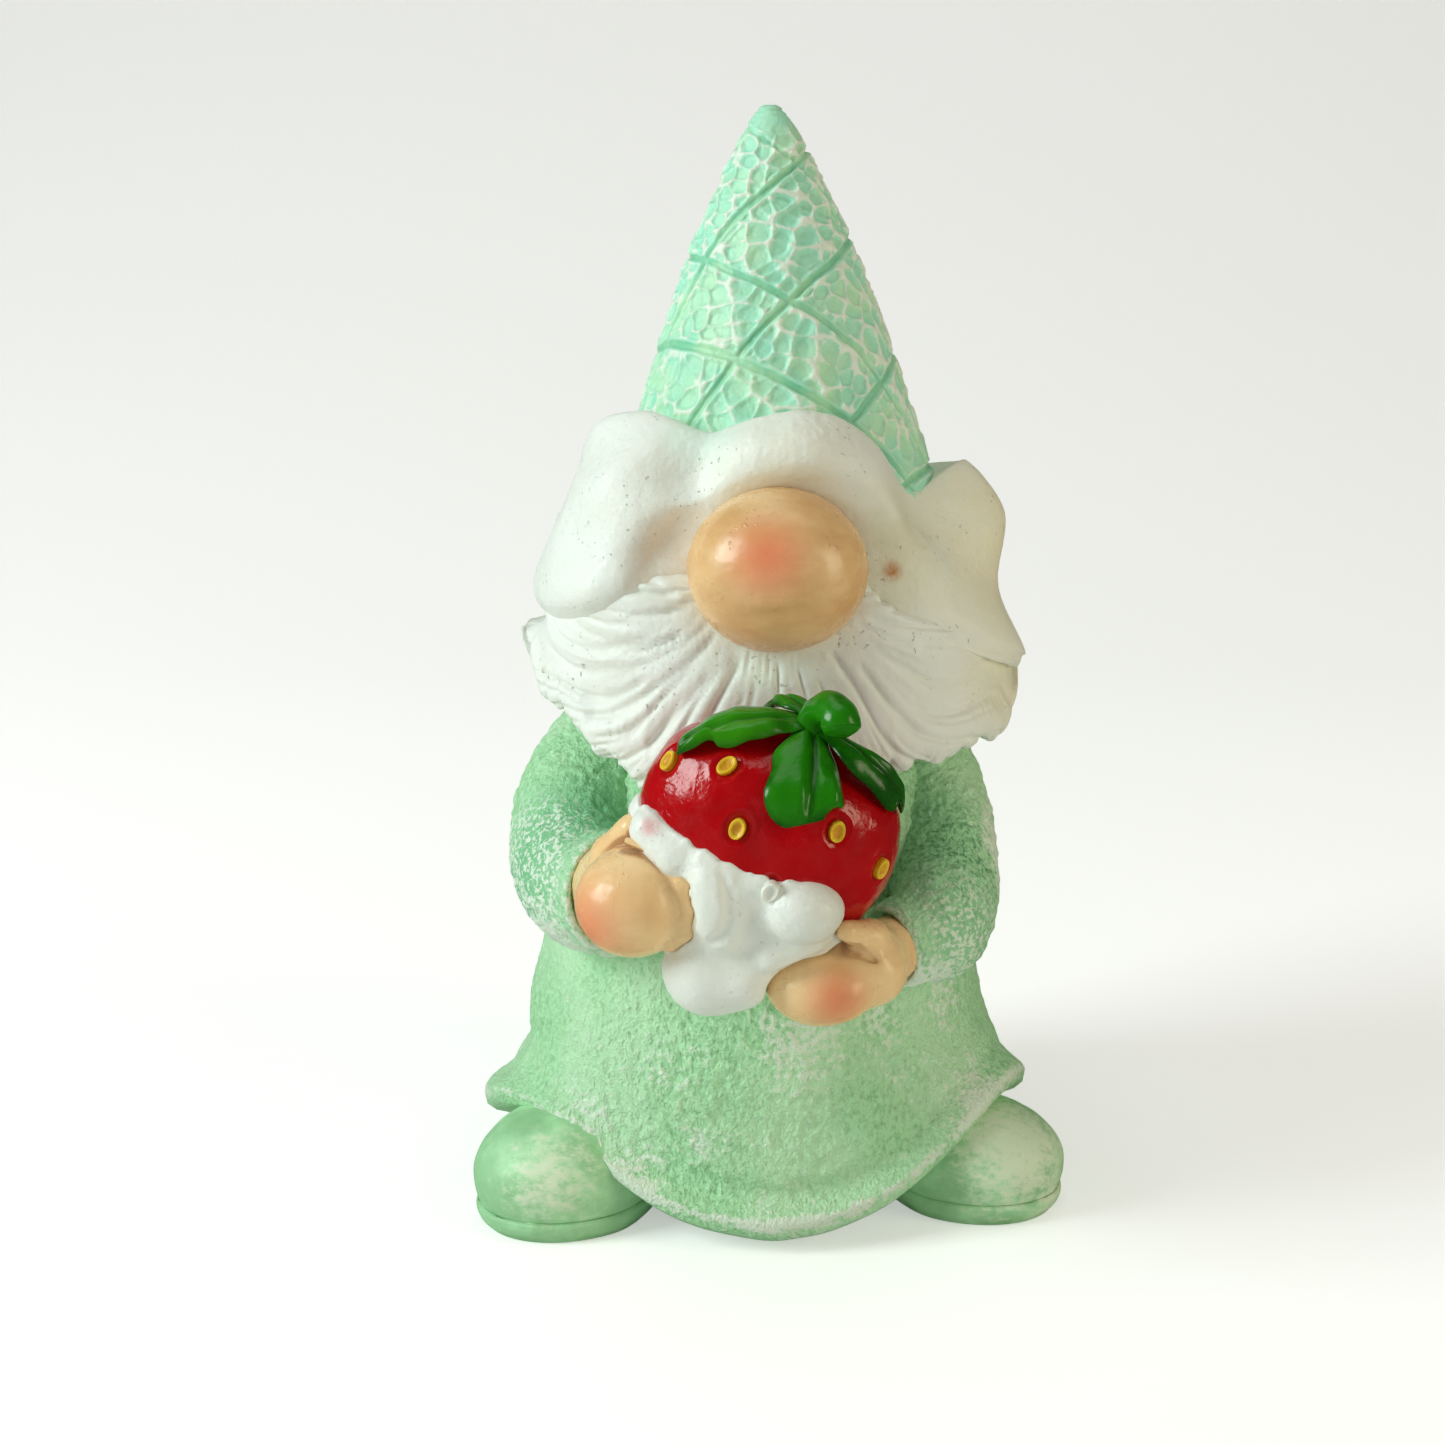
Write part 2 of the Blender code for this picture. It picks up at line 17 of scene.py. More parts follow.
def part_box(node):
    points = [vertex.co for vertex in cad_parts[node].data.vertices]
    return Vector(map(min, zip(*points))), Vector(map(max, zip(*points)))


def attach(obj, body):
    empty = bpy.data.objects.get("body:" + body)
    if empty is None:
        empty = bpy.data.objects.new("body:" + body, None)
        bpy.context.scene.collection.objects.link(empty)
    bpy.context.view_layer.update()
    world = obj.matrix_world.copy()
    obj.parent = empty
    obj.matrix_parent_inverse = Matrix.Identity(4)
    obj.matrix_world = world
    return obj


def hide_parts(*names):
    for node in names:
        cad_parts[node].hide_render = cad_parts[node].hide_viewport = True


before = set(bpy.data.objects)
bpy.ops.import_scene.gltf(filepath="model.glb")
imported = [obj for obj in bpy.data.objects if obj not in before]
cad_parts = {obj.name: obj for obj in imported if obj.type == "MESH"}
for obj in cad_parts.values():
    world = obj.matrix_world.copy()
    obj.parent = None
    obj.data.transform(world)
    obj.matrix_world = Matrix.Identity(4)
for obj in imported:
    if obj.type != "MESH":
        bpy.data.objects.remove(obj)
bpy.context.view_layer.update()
MM = 0.001


def box_mm(node):
    """Lowest and highest corner of a CAD node in millimetres."""
    low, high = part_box(node)
    return np.array(low) / MM, np.array(high) / MM


# ---- smooth curves and repeatable noise ----


def bump(angle, centre, width, power=2):
    """1 at the centre angle, fading to 0 over the width, the same all the way round."""
    away = np.abs((angle - centre + 180) % 360 - 180)
    return np.exp(-((away / width) ** power))


def hill(value, centre, width):
    return np.exp(-(((value - centre) / width) ** 2))


def ramp(value, low, high):
    """0 below low, 1 above high and smooth between."""
    share = np.clip((value - low) / (high - low), 0.0, 1.0)
    return share * share * (3 - 2 * share)


def compass(count):
    """Angles once round the body, in degrees."""
    return np.linspace(-180, 180, count, endpoint=False)


def circle(count):
    """Angles once round a section, in radians."""
    return np.linspace(0, 2 * math.pi, count, endpoint=False)


def swell(angle, base, *bumps):
    """A base value with a (height, centre, width) bump at each place where it changes round the body."""
    for height, centre, width in bumps:
        base = base + height * bump(angle, centre, width)
    return base


def oval(angle, half_width, half_depth):
    """Radius of an oval round the body at an angle."""
    turn = np.radians(angle)
    return 1.0 / np.hypot(np.sin(turn) / half_width, np.cos(turn) / half_depth)


def points_from(*parts):
    """Points whose coordinates are the given values or arrays, stretched to one shape."""
    return np.stack(np.broadcast_arrays(*parts), axis=-1)


def unit(vectors):
    """The same directions, each of length 1."""
    return vectors / np.maximum(np.linalg.norm(vectors, axis=-1, keepdims=True), 1e-9)


def curve(points, t, closed=False):
    """Points at t, 0 to 1, on a smooth curve through points (Catmull-Rom). A point may be a whole array."""
    points = np.asarray(points, float)
    count = len(points)
    t = np.asarray(t, float)
    place = (t % 1.0) * count if closed else np.clip(t, 0, 1) * (count - 1 - 1e-9)
    first = np.floor(place).astype(int)
    f = (place - first).reshape(place.shape + (1,) * (points.ndim - 1))
    near = [first + k for k in (-1, 0, 1, 2)]
    a, b, c, d = (points[k % count] if closed else points[np.clip(k, 0, count - 1)] for k in near)
    return 0.5 * (2 * b + (c - a) * f + (2 * a - 5 * b + 4 * c - d) * f**2 + (3 * b - a - 3 * c + d) * f**3)


def round_table(pairs, angle, blur=5.0):
    """A smooth value round the body from (angle, value) pairs."""
    fine = np.arange(-180, 180)
    raw = np.interp(fine, *zip(*pairs), period=360)
    kernel = np.exp(-0.5 * (np.arange(-20, 21) / blur) ** 2)
    soft = np.convolve(np.concatenate([raw[-20:], raw, raw[:20]]), kernel / kernel.sum(), "valid")
    return np.interp(angle, fine, soft, period=360)


def hashed(cells, seed):
    """A repeatable random number, 0 to 1, for each whole-number cell."""
    mix = np.full(cells.shape[:-1], seed * 7919 + 17, dtype=np.uint64)
    for axis in range(cells.shape[-1]):
        mix = mix ^ (cells[..., axis].astype(np.int64).astype(np.uint64) * np.uint64(0x9E3779B97F4A7C15))
        mix = (mix ^ (mix >> np.uint64(29))) * np.uint64(0xBF58476D1CE4E5B9)
        mix = mix ^ (mix >> np.uint64(32))
    return (mix >> np.uint64(11)).astype(float) / 2**53


def noise(points, size, seed):
    """Smooth noise from -1 to 1, with features of about the given size, in 1, 2 or 3 dimensions."""
    place = np.asarray(points, float) / size
    low = np.floor(place)
    share = place - low
    share = share * share * (3 - 2 * share)
    total = np.zeros(place.shape[:-1])
    for corner in itertools.product((0, 1), repeat=place.shape[-1]):
        weight = np.prod(np.where(corner, share, 1 - share), axis=-1)
        total += weight * hashed(low + np.array(corner), seed)
    return 2 * total - 1


def fractal(points, size, seed, octaves=3):
    """Noise with finer and finer detail, about -1 to 1."""
    layers = [noise(points, size / 2**k, seed + k) * 0.55**k for k in range(octaves)]
    return sum(layers) / sum(0.55**k for k in range(octaves))


def cells(points, size, seed):
    """Distances, in cell sizes, to the nearest and the second nearest of scattered centres in a plane."""
    place = np.asarray(points, float) / size
    home = np.floor(place)
    near = np.full(place.shape[:-1], 9.0)
    second = near.copy()
    for corner in itertools.product((-1, 0, 1), repeat=2):
        cell = home + np.array(corner)
        jitter = np.stack([hashed(cell, seed), hashed(cell, seed + 1)], axis=-1) * 0.84 + 0.08
        away = np.linalg.norm(cell + jitter - place, axis=-1)
        second = np.minimum(second, np.maximum(near, away))
        near = np.minimum(near, away)
    return near, second


# ---- meshes ----


def polar(angle, radius, z):
    """Points at angles round the body."""
    turn = np.radians(angle)
    return points_from(radius * np.sin(turn), -radius * np.cos(turn), z)


def grid_normals(grid, wrap_rows=False):
    """Unit normals of a grid of points that closes round its columns."""
    across = np.roll(grid, -1, axis=1) - np.roll(grid, 1, axis=1)
    if wrap_rows:
        down = np.roll(grid, -1, axis=0) - np.roll(grid, 1, axis=0)
    else:
        down = np.gradient(grid, axis=0)
    normal = unit(np.cross(across, down))
    outward = np.einsum("ijk,ijk->ij", normal, grid - grid.reshape(-1, 3).mean(axis=0)).sum()
    return normal if outward > 0 else -normal


def raised(grid, height, wrap_rows=False):
    """The grid with each point moved out by a height in millimetres."""
    return grid + grid_normals(grid, wrap_rows) * height[..., None]


def loop_through(corners, count):
    """Points on a smooth closed outline through (radius, z) corners, where either may be an array."""
    controls = np.stack([points_from(radius, z) for radius, z in corners])
    return curve(controls, np.linspace(0, 1, count, endpoint=False), closed=True)


def add_mesh(name, points, faces, relief, paint, node):
    """A smooth-shaded piece in millimetres that stands for a CAD node, with a relief value on each point."""
    mesh = bpy.data.meshes.new(name)
    mesh.from_pydata((points * MM).tolist(), [], faces)
    mesh.validate()
    values = mesh.attributes.new("relief", "FLOAT", "POINT").data
    values.foreach_set("value", relief.astype(np.float32).ravel())
    mesh.shade_smooth()
    mesh.materials.append(paint)
    piece = bpy.data.objects.new(name, mesh)
    bpy.context.scene.collection.objects.link(piece)
    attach(piece, "root")
    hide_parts(node)


def add_grid(name, grid, relief, paint, node, wrap_rows=False):
    """A closed piece through a grid of points, closed round its columns, and round its rows or with caps."""
    rows, cols = grid.shape[:2]
    index = np.arange(rows * cols).reshape(rows, cols)
    upper = index if wrap_rows else index[:-1]
    lower = np.roll(index, -1, axis=0) if wrap_rows else index[1:]
    quads = np.stack([upper, np.roll(upper, -1, axis=1), np.roll(lower, -1, axis=1), lower], axis=-1)
    faces = quads.reshape(-1, 4).tolist()
    points = grid.reshape(-1, 3)
    relief = np.broadcast_to(relief, (rows, cols)).ravel()
    if not wrap_rows:
        ends = [(index[0], len(points), False), (index[-1], len(points) + 1, True)]
        points = np.vstack([points, grid[0].mean(axis=0), grid[-1].mean(axis=0)])
        relief = np.append(relief, [relief[0], relief[-1]])
        for ring, tip, flip in ends:
            fan = np.stack([np.roll(ring, -1), ring, np.full(cols, tip)], axis=-1)
            faces += (fan[:, ::-1] if flip else fan).tolist()
    corners = points[quads.reshape(-1, 4)]
    volume = np.einsum("ij,ij->i", corners[:, 0], np.cross(corners[:, 1], corners[:, 2])).sum()
    volume += np.einsum("ij,ij->i", corners[:, 0], np.cross(corners[:, 2], corners[:, 3])).sum()
    if volume < 0:
        faces = [face[::-1] for face in faces]
    add_mesh(name, points, faces, relief, paint, node)


def field_surface(field, low, high, step):
    """Points and quads where field(points) is zero in a box: surface nets, a point in each crossed cell."""
    axes = [np.arange(low[k], high[k] + step, step) for k in range(3)]
    value = field(np.stack(np.meshgrid(*axes, indexing="ij"), axis=-1))
    inner = tuple(n - 1 for n in value.shape)
    total = np.zeros(inner + (3,))
    count = np.zeros(inner)
    crossings = []
    for axis in range(3):
        here = [slice(1, -1)] * 3
        ahead = [slice(1, -1)] * 3
        here[axis] = slice(0, -1)
        ahead[axis] = slice(1, None)
        a, b = value[tuple(here)], value[tuple(ahead)]
        where = np.argwhere((a < 0) != (b < 0))
        start = a[tuple(where.T)]
        share = start / (start - b[tuple(where.T)])
        corner = where + np.array([0 if k == axis else 1 for k in range(3)])
        place = corner.astype(float)
        place[:, axis] += share
        side, other = (k for k in range(3) if k != axis)
        ring = []
        for shift in ((0, 0), (1, 0), (1, 1), (0, 1)):
            cell = corner.copy()
            cell[:, side] -= shift[0]
            cell[:, other] -= shift[1]
            np.add.at(total, tuple(cell.T), place)
            np.add.at(count, tuple(cell.T), 1)
            ring.append(cell)
        crossings.append((ring, (start < 0) != (axis == 1)))
    used = np.argwhere(count > 0)
    number = np.full(inner, -1)
    number[tuple(used.T)] = np.arange(len(used))
    points = total[tuple(used.T)] / count[tuple(used.T)][:, None] * step + np.array(low)
    faces = []
    for ring, flip in crossings:
        quad = np.stack([number[tuple(cell.T)] for cell in ring], axis=-1)
        faces.append(np.where(flip[:, None], quad, quad[:, ::-1]))
    return points, np.vstack(faces)


def net_normals(points, quads):
    """Unit normals at the points of a quad mesh."""
    normal = np.zeros_like(points)
    face = np.cross(points[quads[:, 2]] - points[quads[:, 0]], points[quads[:, 3]] - points[quads[:, 1]])
    for k in range(4):
        np.add.at(normal, quads[:, k], face)
    return unit(normal)


# ---- soft solids, as distance fields ----


def blob(points, centre, radii, turn=0):
    """Distance to an ellipsoid turned about the Y axis by an angle in degrees."""
    spin = np.array(Matrix.Rotation(math.radians(turn), 3, "Y"))
    local = (points - np.array(centre)) @ spin
    reach = np.linalg.norm(local / np.array(radii), axis=-1)
    slope = np.linalg.norm(local / np.array(radii) ** 2, axis=-1)
    return reach * (reach - 1.0) / np.maximum(slope, 1e-9)


def rod(points, start, end):
    """Distance to a round-ended, tapering rod between two (x, y, z, radius) joints."""
    base = np.array(start[:3], float)
    along = np.array(end[:3], float) - base
    share = np.clip(((points - base) @ along) / (along @ along), 0, 1)
    away = np.linalg.norm(points - base - share[..., None] * along, axis=-1)
    return away - (start[3] + end[3] * share - start[3] * share)


def melt(fields, softness):
    """Joins distance fields with a soft fillet."""
    joined = fields[0]
    for field in fields[1:]:
        share = np.clip(0.5 + 0.5 * (field - joined) / softness, 0, 1)
        joined = field * (1 - share) + joined * share - softness * share * (1 - share)
    return joined


def chain(points, joints, softness):
    """Rods from one joint to the next, joined with a soft fillet."""
    return melt([rod(points, start, end) for start, end in zip(joints, joints[1:])], softness)


def carve(field, tool, softness):
    """Takes a tool shape out of a field with a soft edge."""
    return -melt([-field, tool], softness)


# ---- paints ----


class Value:
    """A value inside a node tree, so that paints can be written as sums and products."""

    def __init__(self, tree, socket):
        self.tree = tree
        self.socket = socket

    def __add__(self, other):
        return self.tree.math("ADD", self, other)

    def __sub__(self, other):
        return self.tree.math("SUBTRACT", self, other)

    def __mul__(self, other):
        return self.tree.math("MULTIPLY", self, other)


class Tree:
    """Builds the node tree of a new material or world step by step."""

    def __init__(self, owner):
        owner.use_nodes = True
        self.owner = owner
        self.nodes = owner.node_tree.nodes
        self.links = owner.node_tree.links

    def join(self, value, socket):
        if isinstance(value, Value):
            self.links.new(value.socket, socket)
        else:
            socket.default_value = value

    def fill(self, node, inputs):
        """Links or sets a node's inputs, each under its name or place."""
        for name, value in inputs.items():
            self.join(value, node.inputs[name])

    def math(self, operation, a, b):
        node = self.nodes.new("ShaderNodeMath")
        node.operation = operation
        self.fill(node, {0: a, 1: b})
        return Value(self, node.outputs[0])

    def spread(self, value, low, high, to_low=0.0, to_high=1.0):
        """Eases a value from one range to another."""
        node = self.nodes.new("ShaderNodeMapRange")
        node.interpolation_type = "SMOOTHSTEP"
        self.fill(node, {"Value": value, "From Min": low, "From Max": high})
        self.fill(node, {"To Min": to_low, "To Max": to_high})
        return Value(self, node.outputs["Result"])

    def mix(self, share, first, second):
        """A colour between two colours."""
        node = self.nodes.new("ShaderNodeMix")
        node.data_type = "RGBA"
        first, second = (c if isinstance(c, Value) else (*c, 1.0) for c in (first, second))
        self.fill(node, {"Factor": share, "A": first, "B": second})
        return Value(self, node.outputs["Result"])

    def ray(self, kind):
        """1 for a light ray of this kind, else 0."""
        return Value(self, self.nodes.new("ShaderNodeLightPath").outputs[kind])


class Paint(Tree):
    """A material whose sizes and places are in the figure's millimetres."""

    def __init__(self, name):
        super().__init__(bpy.data.materials.new(name))
        self.shader = self.nodes["Principled BSDF"]
        self.place = Value(self, self.nodes.new("ShaderNodeTexCoord").outputs["Object"])

    def noise(self, size_mm, detail=3.0, stretch=(1, 1, 1), roughness=0.5):
        """Noise from 0 to 1 with features of a size in millimetres."""
        mapping = self.nodes.new("ShaderNodeMapping")
        self.fill(mapping, {"Vector": self.place, "Scale": stretch})
        texture = self.nodes.new("ShaderNodeTexNoise")
        self.fill(texture, {"Vector": Value(self, mapping.outputs["Vector"]), "Scale": 1.0 / (size_mm * MM),
                            "Detail": detail, "Roughness": roughness})
        return Value(self, texture.outputs["Fac"])

    def relief(self):
        attribute = self.nodes.new("ShaderNodeAttribute")
        attribute.attribute_name = "relief"
        return Value(self, attribute.outputs["Fac"])

    def near(self, centre_mm, radius_mm):
        """1 at a place on the figure, fading to 0 at a radius."""
        node = self.nodes.new("ShaderNodeVectorMath")
        node.operation = "DISTANCE"
        self.fill(node, {0: self.place, 1: [c * MM for c in centre_mm]})
        return self.spread(Value(self, node.outputs["Value"]), 0.0, radius_mm * MM, 1.0, 0.0)

    def patched(self, value, patches):
        """A value that rises to the amount of each (centre, radius, amount) patch."""
        for centre, radius, amount in patches:
            value = self.math("MAXIMUM", value, self.near(centre, radius) * amount)
        return value

    def finish(self, colour, roughness, height=None, depth_mm=0.1):
        """The material, with a bump of a depth in millimetres where a height is given."""
        self.fill(self.shader, {"Base Color": colour, "Roughness": roughness})
        if height is not None:
            node = self.nodes.new("ShaderNodeBump")
            self.fill(node, {"Height": height, "Distance": depth_mm * MM})
            self.join(Value(self, node.outputs["Normal"]), self.shader.inputs["Normal"])
        return self.owner


HAT_DEEP = (0.25, 0.66, 0.42)
HAT_MINT = (0.42, 0.86, 0.65)
DEEP_MINT = (0.17, 0.46, 0.19)
MINT = (0.47, 0.84, 0.48)
FROSTED_MINT = (0.15, 0.52, 0.24)
PALE_MINT = (0.58, 0.88, 0.57)
SHOE_MINT = (0.33, 0.63, 0.33)
PIT_GREEN = (0.07, 0.27, 0.11)
RUBBED_WHITE = (0.84, 0.92, 0.80)
HAZE_WHITE = (0.82, 0.90, 0.70)
IVORY = (0.88, 0.91, 0.85)
IVORY_SHADE = (0.66, 0.69, 0.57)
IVORY_WARM = (0.80, 0.76, 0.60)
IVORY_PIT = (0.32, 0.30, 0.22)
NOSE_DARK = (0.72, 0.41, 0.17)
NOSE_LIGHT = (0.92, 0.62, 0.32)
HAND_DARK = (0.90, 0.57, 0.27)
HAND_LIGHT = (0.98, 0.71, 0.38)
# Painted shade colour for creases in the skin.
SKIN_CREASE_SHADE = (0.40, 0.15, 0.05)
BLUSH = (0.86, 0.25, 0.12)
RED = (0.50, 0.001, 0.004)
DEEP_RED = (0.32, 0.001, 0.003)
LEAF = (0.014, 0.20, 0.002)
# Painted shade colour for the leaves' folds and for the leaf away from the lamp.
LEAF_PAINTED_SHADE = (0.003, 0.055, 0.001)
LEAF_STREAK = (0.04, 0.30, 0.006)
# Painted light colour for the leaf towards the lamp.
LEAF_PAINTED_LIGHT = (0.06, 0.34, 0.004)
SEED = (0.86, 0.56, 0.02)
SEED_LIGHT = (0.85, 0.58, 0.05)
SEED_HOLLOW = (0.64, 0.28, 0.004)
RESIN = (0.78, 0.76, 0.70)
RESIN_DARK = (0.66, 0.63, 0.56)
RESIN_STAIN = (0.58, 0.54, 0.46)


def hat_paint():
    """Green in the hollows and lines, clouded with a paler green, and off-white brushed on every ridge."""
    p = Paint("hat_dry_brushed")
    relief, fine = p.relief(), p.noise(0.45, 4)
    ground = p.mix(p.spread(relief, 0.02, 0.4), HAT_DEEP, HAT_MINT)
    ground = p.mix(p.spread(p.noise(5.0), 0.35, 0.7, 0.0, 0.7), ground, PALE_MINT)
    brushed = relief + (fine - 0.5) * 0.7
    colour = p.mix(p.spread(brushed, 0.56, 0.84, 0.0, 0.95), ground, RUBBED_WHITE)
    return p.finish(colour, p.spread(fine, 0.2, 0.8, 0.36, 0.52), fine, 0.12)


def felt_paint(name, tooth_mm, patches, pitted=None, deeper=()):
    """Satin green over a brushed-plaster tooth, and off-white dragged over its high points in given patches.

    pitted is a (centre, radius) with dark pits. deeper has (centre, radius, depth, frost) places, where the
    green is deeper and may be frosted with off-white flecks."""
    p = Paint(name)
    grain = p.noise(0.62, 3, stretch=(1.0, 1.0, 0.75), roughness=0.6)
    ground = p.mix(p.spread(grain, 0.30, 0.58, 0.45, 1.0), DEEP_MINT, MINT)
    ground = p.mix(p.spread(p.noise(12.0, 2), 0.38, 0.68, 0.0, 0.75), ground, PALE_MINT)
    if pitted:
        pits = p.spread(p.noise(0.6, 2), 0.40, 0.47, 0.95, 0.0) * p.near(*pitted)
        ground = p.mix(pits, ground, PIT_GREEN)
    frosted = 0.0
    for centre, radius, depth, frost in deeper:
        zone = p.near(centre, radius)
        ground = p.mix(zone * depth, ground, FROSTED_MINT)
        frosted = p.math("MAXIMUM", frosted, zone * frost)
    rubbed = p.patched(p.spread(p.noise(8.0, 3), 0.45, 0.75, 0.0, 0.22), patches)
    ragged = (p.noise(1.3, 4, stretch=(0.7, 1.0, 1.5), roughness=0.7) - 0.5) * 0.95
    high = grain * 0.8 + p.relief() * 0.55 + rubbed + ragged
    colour = p.mix(p.spread(high, 0.72, 1.0, 0.0, 0.85), ground, RUBBED_WHITE)
    flecks = p.spread(frosted, 0.1, 0.6) * p.spread(p.noise(0.55, 3), 0.49, 0.57, 0.0, 0.85)
    colour = p.mix(flecks, colour, RUBBED_WHITE)
    height = grain + p.noise(0.4, 2) * 0.6
    return p.finish(colour, p.spread(grain, 0.3, 0.7, 0.52, 0.38), height, tooth_mm)


def shoe_paint(patches):
    """Satin green, smoother than the robe, with a haze of off-white brushed over the toes."""
    p = Paint("hazed_shoe")
    streaks = p.noise(1.3, 5, stretch=(0.8, 1.0, 1.2), roughness=0.72)
    ground = p.mix(p.spread(p.noise(6.0, 3), 0.35, 0.7), SHOE_MINT, MINT)
    ground = p.mix(p.spread(streaks, 0.36, 0.5, 0.18, 0.0), ground, DEEP_MINT)
    broken = p.patched(0.0, patches) + (streaks - 0.5) * 1.8
    colour = p.mix(p.spread(broken, 0.14, 0.78, 0.0, 0.85), ground, HAZE_WHITE)
    return p.finish(colour, 0.48, streaks, 0.12)


def ivory_paint(name, shade=0.25, gloss=0.5, pitting=1.0, tints=()):
    """Off-white with painted shade in low relief, warm thin spots, small pits and (centre, radius, colour,
    amount) tints.
    """
    p = Paint(name)
    relief, fine = p.relief(), p.noise(0.7, 4)
    # Painted shade: a grey where the relief is low, in sunken folds and carved lines.
    colour = p.mix(p.spread(relief, 0.1, 0.5, shade, 0.0), IVORY, IVORY_SHADE)
    colour = p.mix(p.spread(p.noise(12.0, 2), 0.45, 0.8, 0.0, 0.15), colour, IVORY_WARM)
    # The tints, broken up by noise, include painted shade and painted light as well as a real speck.
    for centre, radius, tint, amount in tints:
        patchy = p.spread(p.noise(0.3 * radius, 3), 0.25, 0.6, 0.5, 1.0)
        colour = p.mix(p.near(centre, radius) * patchy * amount, colour, tint)
    pits = p.spread(p.noise(0.5, 2), 0.27, 0.33, pitting, 0.0) * p.spread(p.noise(5.0, 2), 0.48, 0.58)
    colour = p.mix(pits * 0.45, colour, IVORY_PIT)
    height = fine * 0.7 + p.noise(2.2, 2) - pits
    return p.finish(colour, p.spread(fine, 0.3, 0.7, gloss - 0.1, gloss + 0.1), height, 0.15)


def skin_paint(name, dark, light, blushes):
    """Peach paint with brushed streaks, painted shade in creases and rosy patches at the given (centre,
    radius) places.
    """
    p = Paint(name)
    streaks = p.noise(5.0, 3, stretch=(0.7, 1, 1.4))
    colour = p.mix(p.spread(streaks, 0.2, 0.85), dark, light)
    # Painted shade: a dark crease colour where the relief is low.
    colour = p.mix(p.spread(p.relief(), -0.3, 0.35, 0.7, 0.0), colour, SKIN_CREASE_SHADE)
    for centre, radius in blushes:
        colour = p.mix(p.near(centre, radius) * p.spread(streaks, 0.1, 0.8, 0.75, 0.95), colour, BLUSH)
    bubbles = p.spread(p.noise(0.7, 2), 0.60, 0.70) * p.spread(p.noise(5.0, 2), 0.50, 0.62)
    height = p.noise(1.6, 1) + bubbles
    return p.finish(colour, p.spread(p.noise(2.5, 2), 0.3, 0.7, 0.22, 0.31), height, 0.06)


def berry_paint():
    """Glossy red lacquer, deeper in random patches, with painted shade in the hollows round the seeds."""
    p = Paint("strawberry_lacquer")
    colour = p.mix(p.spread(p.noise(7.0, 3), 0.35, 0.75, 0.0, 0.6), RED, DEEP_RED)
    # Painted shade: deeper red where the relief is low, round the seeds.
    colour = p.mix(p.spread(p.relief(), 0.1, 0.5, 0.8, 0.0), colour, DEEP_RED)
    height = p.noise(0.9, 3) + p.noise(3.5, 2, stretch=(1, 1, 0.4))
    return p.finish(colour, p.spread(p.noise(2.0, 3), 0.3, 0.7, 0.12, 0.22), height, 0.09)


def leaf_paint():
    """Glossy green with brushed lighter streaks, painted shade in the folds and on the left leaf, painted
    light on the right.
    """
    p = Paint("calyx_lacquer")
    # Painted shade: darker where the leaf is thin or creased.
    colour = p.mix(p.spread(p.relief(), 0.15, 0.7), LEAF_PAINTED_SHADE, LEAF)
    colour = p.mix(p.spread(p.noise(1.6, 3), 0.45, 0.8, 0.0, 0.35), colour, LEAF_STREAK)
    # Painted light on the right leaf, towards the lamp; painted shade on the left leaf, away from it.
    colour = p.mix(p.near((-4, -40, 68), 10) * 0.5, colour, LEAF_PAINTED_LIGHT)
    colour = p.mix(p.near((13, -38, 59), 8) * 0.85, colour, LEAF_PAINTED_SHADE)
    p.shader.inputs["Specular IOR Level"].default_value = 0.4
    return p.finish(colour, 0.24, p.noise(1.4, 2), 0.07)


def seed_paint():
    """Yellow enamel, browner in the cup's hollow."""
    p = Paint("seed_enamel")
    colour = p.mix(p.spread(p.relief(), 0.25, 0.75), SEED_HOLLOW, SEED)
    colour = p.mix(p.spread(p.noise(0.5, 2), 0.4, 0.8, 0.0, 0.5), colour, SEED_LIGHT)
    return p.finish(colour, 0.35, p.noise(0.4, 2), 0.04)


def bare_resin():
    """Unpainted casting with fine pores."""
    p = Paint("bare_casting")
    fine = p.noise(0.8, 4)
    colour = p.mix(p.spread(fine, 0.35, 0.7), RESIN_DARK, RESIN)
    colour = p.mix(p.spread(p.noise(9.0, 2), 0.4, 0.7, 0.0, 0.4), colour, RESIN_STAIN)
    return p.finish(colour, p.spread(fine, 0.2, 0.8, 0.65, 0.85), fine, 0.15)


# ---- hat ----

HAT_LOW, HAT_HIGH = box_mm("hat")
HAT_TIP = HAT_HIGH[2]
TIP_CAP = 0.12  # how far below the tip the first ring of points lies
HAT_PROFILE = (  # distance below the tip and radius
    (0, 0), (TIP_CAP, 0.7), (0.6, 1.5), (2.0, 2.6), (4.0, 3.6), (7.7, 5.5), (15.7, 9.3), (26, 13.2),
    (35.4, 16.3), (44.5, 19.3),
)
CONE_TURN = math.sin(math.radians(20.3))  # how much the wafer's own angle shrinks when it is laid flat
LINE_HALF_WIDTH = 0.42
DIMPLE = 2.35
WAFER_LINES = (  # direction in the flat wafer, distance from its apex, curvature and strength
    (-54.0, -2.0, 0.0, 1.0), (-48.2, 11.6, 0.0, 1.0), (-40.8, 25.4, 0.0012, 1.0),
    (-32.5, 39.6, 0.0038, 1.0), (-27.0, 53.0, 0.0, 1.0), (44.8, 7.6, 0.0, 0.7), (14.7, 18.5, 0.0, 0.35),
    (27.3, 28.3, 0.0023, 0.9), (22.3, 38.4, 0.0040, 1.0), (20.0, 49.5, 0.004, 1.0),
)


def wafer_line(flat, direction, offset, curvature, seed):
    """Distance to one slightly wavering line pressed in the flat wafer."""
    turn = math.radians(direction)
    along = flat[..., 0] * math.cos(turn) + flat[..., 1] * math.sin(turn)
    across = flat[..., 1] * math.cos(turn) - flat[..., 0] * math.sin(turn)
    waver = 0.25 * noise(flat, 5.0, seed) + 0.10 * noise(flat, 1.2, seed + 1)
    middle = 0.35 * offset
    return np.abs(across - offset - curvature * (along - middle) ** 2 + waver)


